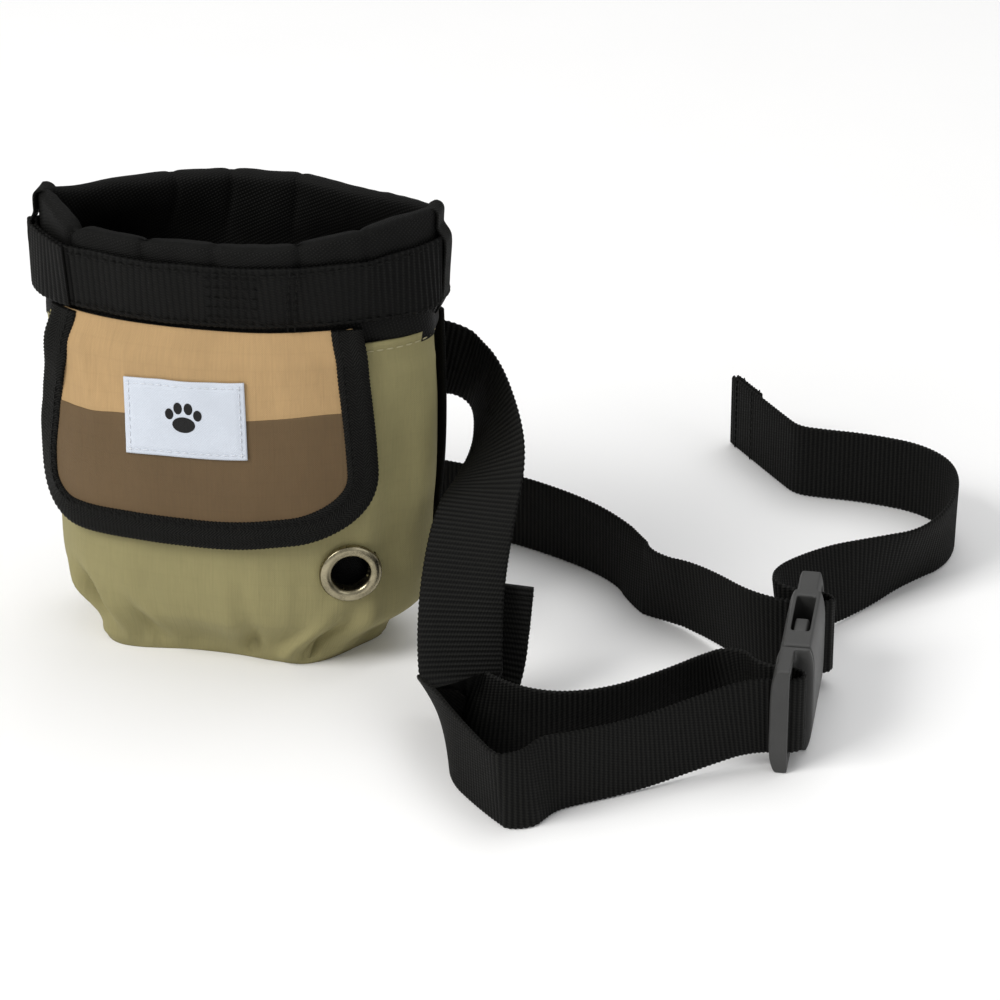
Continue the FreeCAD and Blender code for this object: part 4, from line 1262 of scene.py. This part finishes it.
class POUCH_OT_flap(bpy.types.Operator):
    """Sews the flap: backing, two panels, the bound edge and the closure behind it"""

    bl_idname = "pouch.flap"
    bl_label = "Flap"

    def execute(self, context):
        seam = context.scene.pouch_sizes.seam_height / MM
        width = context.scene.pouch_sizes.binding_width / MM
        upper = flap_panel("flap_upper", seam - 1.0, FLAP_TOP, 0.0, 0.7, finish_of("sand"), 3.0)
        lower = flap_panel("flap_lower", FLAP_LOW + 3.0, seam, 0.14, 0.7, finish_of("brown"), 3.0)
        backing = flap_panel("flap_back", FLAP_LOW + 3.0, FLAP_TOP, -1.3, 0.5, finish_of("lining"), 3.2)
        outline = flap_outline(width / 2)
        ahead = np.gradient(outline, axis=0)
        sideways = unit(np.stack((-ahead[:, 1], ahead[:, 0]), axis=1))
        centre = np.array([flap_point(s, z, 0.05) for s, z in outline])
        inner = np.array([flap_point(s, z, 0.05) for s, z in outline + sideways * 1.5])
        outer = np.array([flap_point(s, z, 0.05) for s, z in outline - sideways * 1.5])
        rib = run_lengths(centre)[-1] / round(run_lengths(centre)[-1] / 1.25)
        bound = tape("flap_binding", centre, outer - inner, width, 2.7, finish_of("binding"), rib, 0.22,
            0.2)
        edge = flap_outline(width - 1.1, 240)
        rows = [np.array([flap_point(s, z, 1.5) for s, z in edge])]
        sewn = stitches("flap_stitches", rows, finish_of("black_thread"), 2.6, 1.9, 0.24)
        for piece, slot, nodes in (
            (upper, "sand_cloth", ("flap_upper_panel",)),
            (backing, "black_lining", ("flap_backing",)),
            (bound, "binding_tape", ("flap_binding",)),
            (sewn, "binding_tape", ()),
        ):
            if nodes:
                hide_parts(*nodes)
            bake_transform(piece)
        ride(lower, "flap", "brown_cloth", "flap_lower_panel")
        hooks = []
        for z in PATCH_ROWS:
            hooks.append([flap_point(s, z, -1.6) for s in PATCH_COLUMNS])
        uv = [[(s, z) for s in PATCH_COLUMNS] for z in PATCH_ROWS]
        patch = panel("flap_hooks", hooks, uv, 0.5, finish_of("pile"))
        ride(patch, "flap", "hook_and_loop", "flap_hook_patch")
        return {"FINISHED"}


LABEL_MIDDLE = (-11.2, 84.0)
LABEL_TILT = math.radians(1.6)


def label_point(a, b, out):
    s = LABEL_MIDDLE[0] + a * math.cos(LABEL_TILT) - b * math.sin(LABEL_TILT)
    z = LABEL_MIDDLE[1] + a * math.sin(LABEL_TILT) + b * math.cos(LABEL_TILT)
    return flap_point(s, z, out)


class POUCH_OT_label(bpy.types.Operator):
    """Sews the woven label with its frame of stitches and a plain printed mark"""

    bl_idname = "pouch.label"
    bl_label = "Label"

    def execute(self, context):
        sizes = context.scene.pouch_sizes
        half, rise = sizes.label_width / MM / 2, sizes.label_height / MM / 2
        across, up = np.linspace(-half, half, 60), np.linspace(-rise, rise, 42)

        def bulge(a, b):
            edge = min(half - abs(a), rise - abs(b))
            return 0.85 + 0.25 * float(smooth(0.2, 2.2, edge)) - 0.18 * float(hill(edge, 1.6,
                0.5)) + 0.12 * grain(a, b, 6, 3.3)

        grid = [[label_point(a, b, bulge(a, b)) for a in across] for b in up]
        uv = [[(a, b) for a in across] for b in up]
        label = panel("label", grid, uv, 0.6, finish_of("label"))
        ride(label, "flap", "label_cloth", "label")
        a, b = half - 1.6, rise - 1.6
        corners = ((-a, -b), (a, -b), (a, b), (-a, b))
        rows = []
        for k in range(4):
            (a0, b0), (a1, b1) = corners[k], corners[(k + 1) % 4]
            rows.append([label_point(a0 + (a1 - a0) * t, b0 + (b1 - b0) * t, 1.0)
                for t in np.linspace(0, 1, 24)])
        frame_row = stitches("label_stitches", rows, finish_of("white_thread"), 2.3, 1.7, 0.17)
        ride(frame_row, "flap", "label_cloth")
        points, faces, uvs = [], [], []
        pads = ((0.0, -1.6, 3.4, 2.5), (-4.2, 1.6, 1.25, 1.75), (-1.55, 3.6, 1.3, 1.9),
            (1.55, 3.6, 1.3, 1.9), (4.2, 1.6, 1.25, 1.75))
        for a0, b0, wide, tall in pads:
            start = len(points)
            points.append(label_point(a0, b0, 1.17))
            uvs.append((a0, b0))
            for turn in np.linspace(0, 2 * math.pi, 28, endpoint=False):
                a1, b1 = a0 + wide * math.cos(turn), b0 + tall * math.sin(turn)
                points.append(label_point(a1, b1, 1.17))
                uvs.append((a1, b1))
            faces += [(start, start + 1 + k, start + 1 + (k + 1) % 28) for k in range(28)]
        mark = mesh_from("label_mark", np.array(points), faces, np.array(uvs), finish_of("mark"))
        ride(mark, "flap", "label_cloth")
        return {"FINISHED"}


def lathe(name, profile, seat, axis, finish, steps=72):
    """A turned ring: profile is (radius, height) in mm round the axis, closed on itself."""
    axis = axis / np.linalg.norm(axis)
    side = np.cross(axis, np.array((0.0, 0.0, 1.0)))
    side /= np.linalg.norm(side)
    other = np.cross(axis, side)
    rings, uvs = [], []
    for radius, lift in profile:
        turn = np.linspace(0, 2 * math.pi, steps, endpoint=False)
        ring = seat + axis * lift + radius * (np.cos(turn)[:, None] * side + np.sin(turn)[:, None] * other)
        rings.append(ring)
        uvs.append(np.stack((turn * radius, np.full(steps, lift)), axis=1))
    return rings_shell(name, rings, uvs, finish, (False, False))


class POUCH_OT_eyelet(bpy.types.Operator):
    """Sets the rolled eyelet in the pocket"""

    bl_idname = "pouch.eyelet"
    bl_label = "Eyelet"

    def execute(self, context):
        hole, flange = 5.75, 9.4
        profile = [(flange - 0.25, 0.12), (flange, 0.35), (flange - 0.02, 0.75), (flange - 0.3, 1.15)]
        middle, wide, tall = (hole + flange) / 2, (flange - hole) / 2, 1.0
        for turn in np.linspace(0.35, math.pi - 0.15, 12):
            profile.append((middle + (wide - 0.15) * math.cos(turn), 0.9 + tall * math.sin(turn)))
        profile += [(hole, 0.75), (hole, 0.1), (hole, -2.7), (hole + 0.7, -2.7), (hole + 0.75, 0.1)]
        ring = lathe("eyelet", profile, SEAT, EYELET_AXIS, finish_of("brass"))
        ride(ring, "pouch", "eyelet_metal", "eyelet_front")
        for node in ("eyelet_washer", "bottom_panel"):
            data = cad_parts[node].data
            data.materials.clear()
            data.materials.append(finish_of("brass" if node == "eyelet_washer" else "board"))
        return {"FINISHED"}


class POUCH_OT_loops(bpy.types.Operator):
    """Sews the belt loops and the corner strips on the back"""

    bl_idname = "pouch.loops"
    bl_label = "Belt loops"

    def execute(self, context):
        rows = []
        for side, x in (("left", -37.0), ("right", 37.0)):
            spots = []
            for z, y in ((54, None), (60, None), (65.5, None), (67.6, 31.2), (70.5, 31.6), (81, 31.6),
                    (91.5, 31.6), (94.4, 31.2), (96.5, None), (102, None), (108, None)):
                if y is None:
                    ring = wall(np.linspace(0.02, 0.48, 200), z, 1.5)
                    y = float(np.interp(x, ring[::-1, 0], ring[::-1, 1]))
                spots.append((x, y, z))
            line = nurbs_line(np.array(spots))
            across = np.tile(np.array((-1.0, 0.0, 0.0)), (len(line), 1))
            line, across = resampled(BAND_RIB / 4, line, across)
            loop = tape(f"loop_{side}", line, across, 20.0, 1.2, finish_of("band"), BAND_RIB, 0.28, 0.15)
            ride(loop, "pouch", "webbing", f"belt_loop_{side}")
            rows += box_stitch(line, across, 2.0, 11.0, 2.0, 0.72, 20.0)
            length = run_lengths(line)[-1]
            rows += box_stitch(line, across, length - 11.0, length - 2.0, 2.0, 0.72, 20.0)
        sewn = stitches("loop_stitches", rows, finish_of("black_thread"), 2.4, 1.9, 0.28)
        ride(sewn, "pouch", "webbing")
        for side, place in (("right", 0.062), ("left", 0.438)):
            centre, across = [], []
            for z in np.linspace(30, 104.5, 150):
                spot = wall(np.array((place - 0.02, place, place + 0.02)), z, 1.15)
                centre.append(spot[1])
                across.append(spot[2] - spot[0])
            strip = tape(f"corner_strip_{side}", np.array(centre), np.array(across), 13.0, 1.4,
                finish_of("binding"))
            ride(strip, "pouch", "webbing")
        return {"FINISHED"}


def rounded_copy(node, name, grain_size=0.4, rounds=24):
    """A CAD part's mesh, merged, remeshed and eased so that its edges are moulded round."""
    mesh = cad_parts[node].data.copy()
    work = bmesh.new()
    work.from_mesh(mesh)
    bmesh.ops.remove_doubles(work, verts=work.verts, dist=2e-6)
    work.to_mesh(mesh)
    work.free()
    rough = finished(name, mesh, finish_of("plastic"), False)
    even = rough.modifiers.new("Even", "REMESH")
    even.mode = "VOXEL"
    even.voxel_size = grain_size * MM
    eased = rough.modifiers.new("Eased", "SMOOTH")
    eased.factor = 0.5
    eased.iterations = rounds
    bpy.context.view_layer.update()
    plain = bpy.data.meshes.new_from_object(rough.evaluated_get(bpy.context.evaluated_depsgraph_get()))
    bpy.data.objects.remove(rough)
    for vertex in plain.vertices:
        x, _, z = vertex.co / MM
        thin = 1 - 0.3 * abs((z - BUCKLE_HALF) / BUCKLE_HALF) ** 5
        vertex.co.x = (BUCKLE_PLANE + (x - BUCKLE_PLANE) * thin) * MM
    return finished(name, plain, finish_of("plastic"))


class POUCH_OT_buckle(bpy.types.Operator):
    """Makes the side-release buckle's two halves and its prongs"""

    bl_idname = "pouch.buckle"
    bl_label = "Buckle"

    def execute(self, context):
        for node, body in (
            ("buckle_male", "pouch"),
            ("buckle_female", "buckle_far_half"),
            ("buckle_prong_upper", "prong_upper"),
            ("buckle_prong_lower", "prong_lower"),
        ):
            ride(rounded_copy(node, node + "_moulding"), body, "buckle_plastic", node)
        return {"FINISHED"}


class POUCH_PT_panel(bpy.types.Panel):
    """The pouch's pieces and sizes"""

    bl_label = "Treat pouch"
    bl_idname = "POUCH_PT_panel"
    bl_space_type = "VIEW_3D"
    bl_region_type = "UI"
    bl_category = "Treat pouch"

    def draw(self, context):
        layout = self.layout
        for group in (context.scene.pouch_sizes, context.scene.pouch_colours):
            for name in group.__annotations__:
                layout.prop(group, name)
        for operator in OPERATORS:
            layout.operator(operator.bl_idname)


OPERATORS = (
    POUCH_OT_stage,
    POUCH_OT_belt,
    POUCH_OT_bag,
    POUCH_OT_pocket,
    POUCH_OT_collar,
    POUCH_OT_flap,
    POUCH_OT_label,
    POUCH_OT_eyelet,
    POUCH_OT_loops,
    POUCH_OT_buckle,
)
CLASSES = (PouchSizes, PouchColours) + OPERATORS + (POUCH_PT_panel,)


def register():
    for cls in CLASSES:
        bpy.utils.register_class(cls)
    bpy.types.Scene.pouch_sizes = bpy.props.PointerProperty(type=PouchSizes)
    bpy.types.Scene.pouch_colours = bpy.props.PointerProperty(type=PouchColours)


def unregister():
    del bpy.types.Scene.pouch_colours
    del bpy.types.Scene.pouch_sizes
    for cls in reversed(CLASSES):
        bpy.utils.unregister_class(cls)


def main():
    register()
    for operator in OPERATORS:
        group, name = operator.bl_idname.split(".")
        getattr(getattr(bpy.ops, group), name)()
    bpy.context.view_layer.update()


if __name__ == "__main__":
    main()
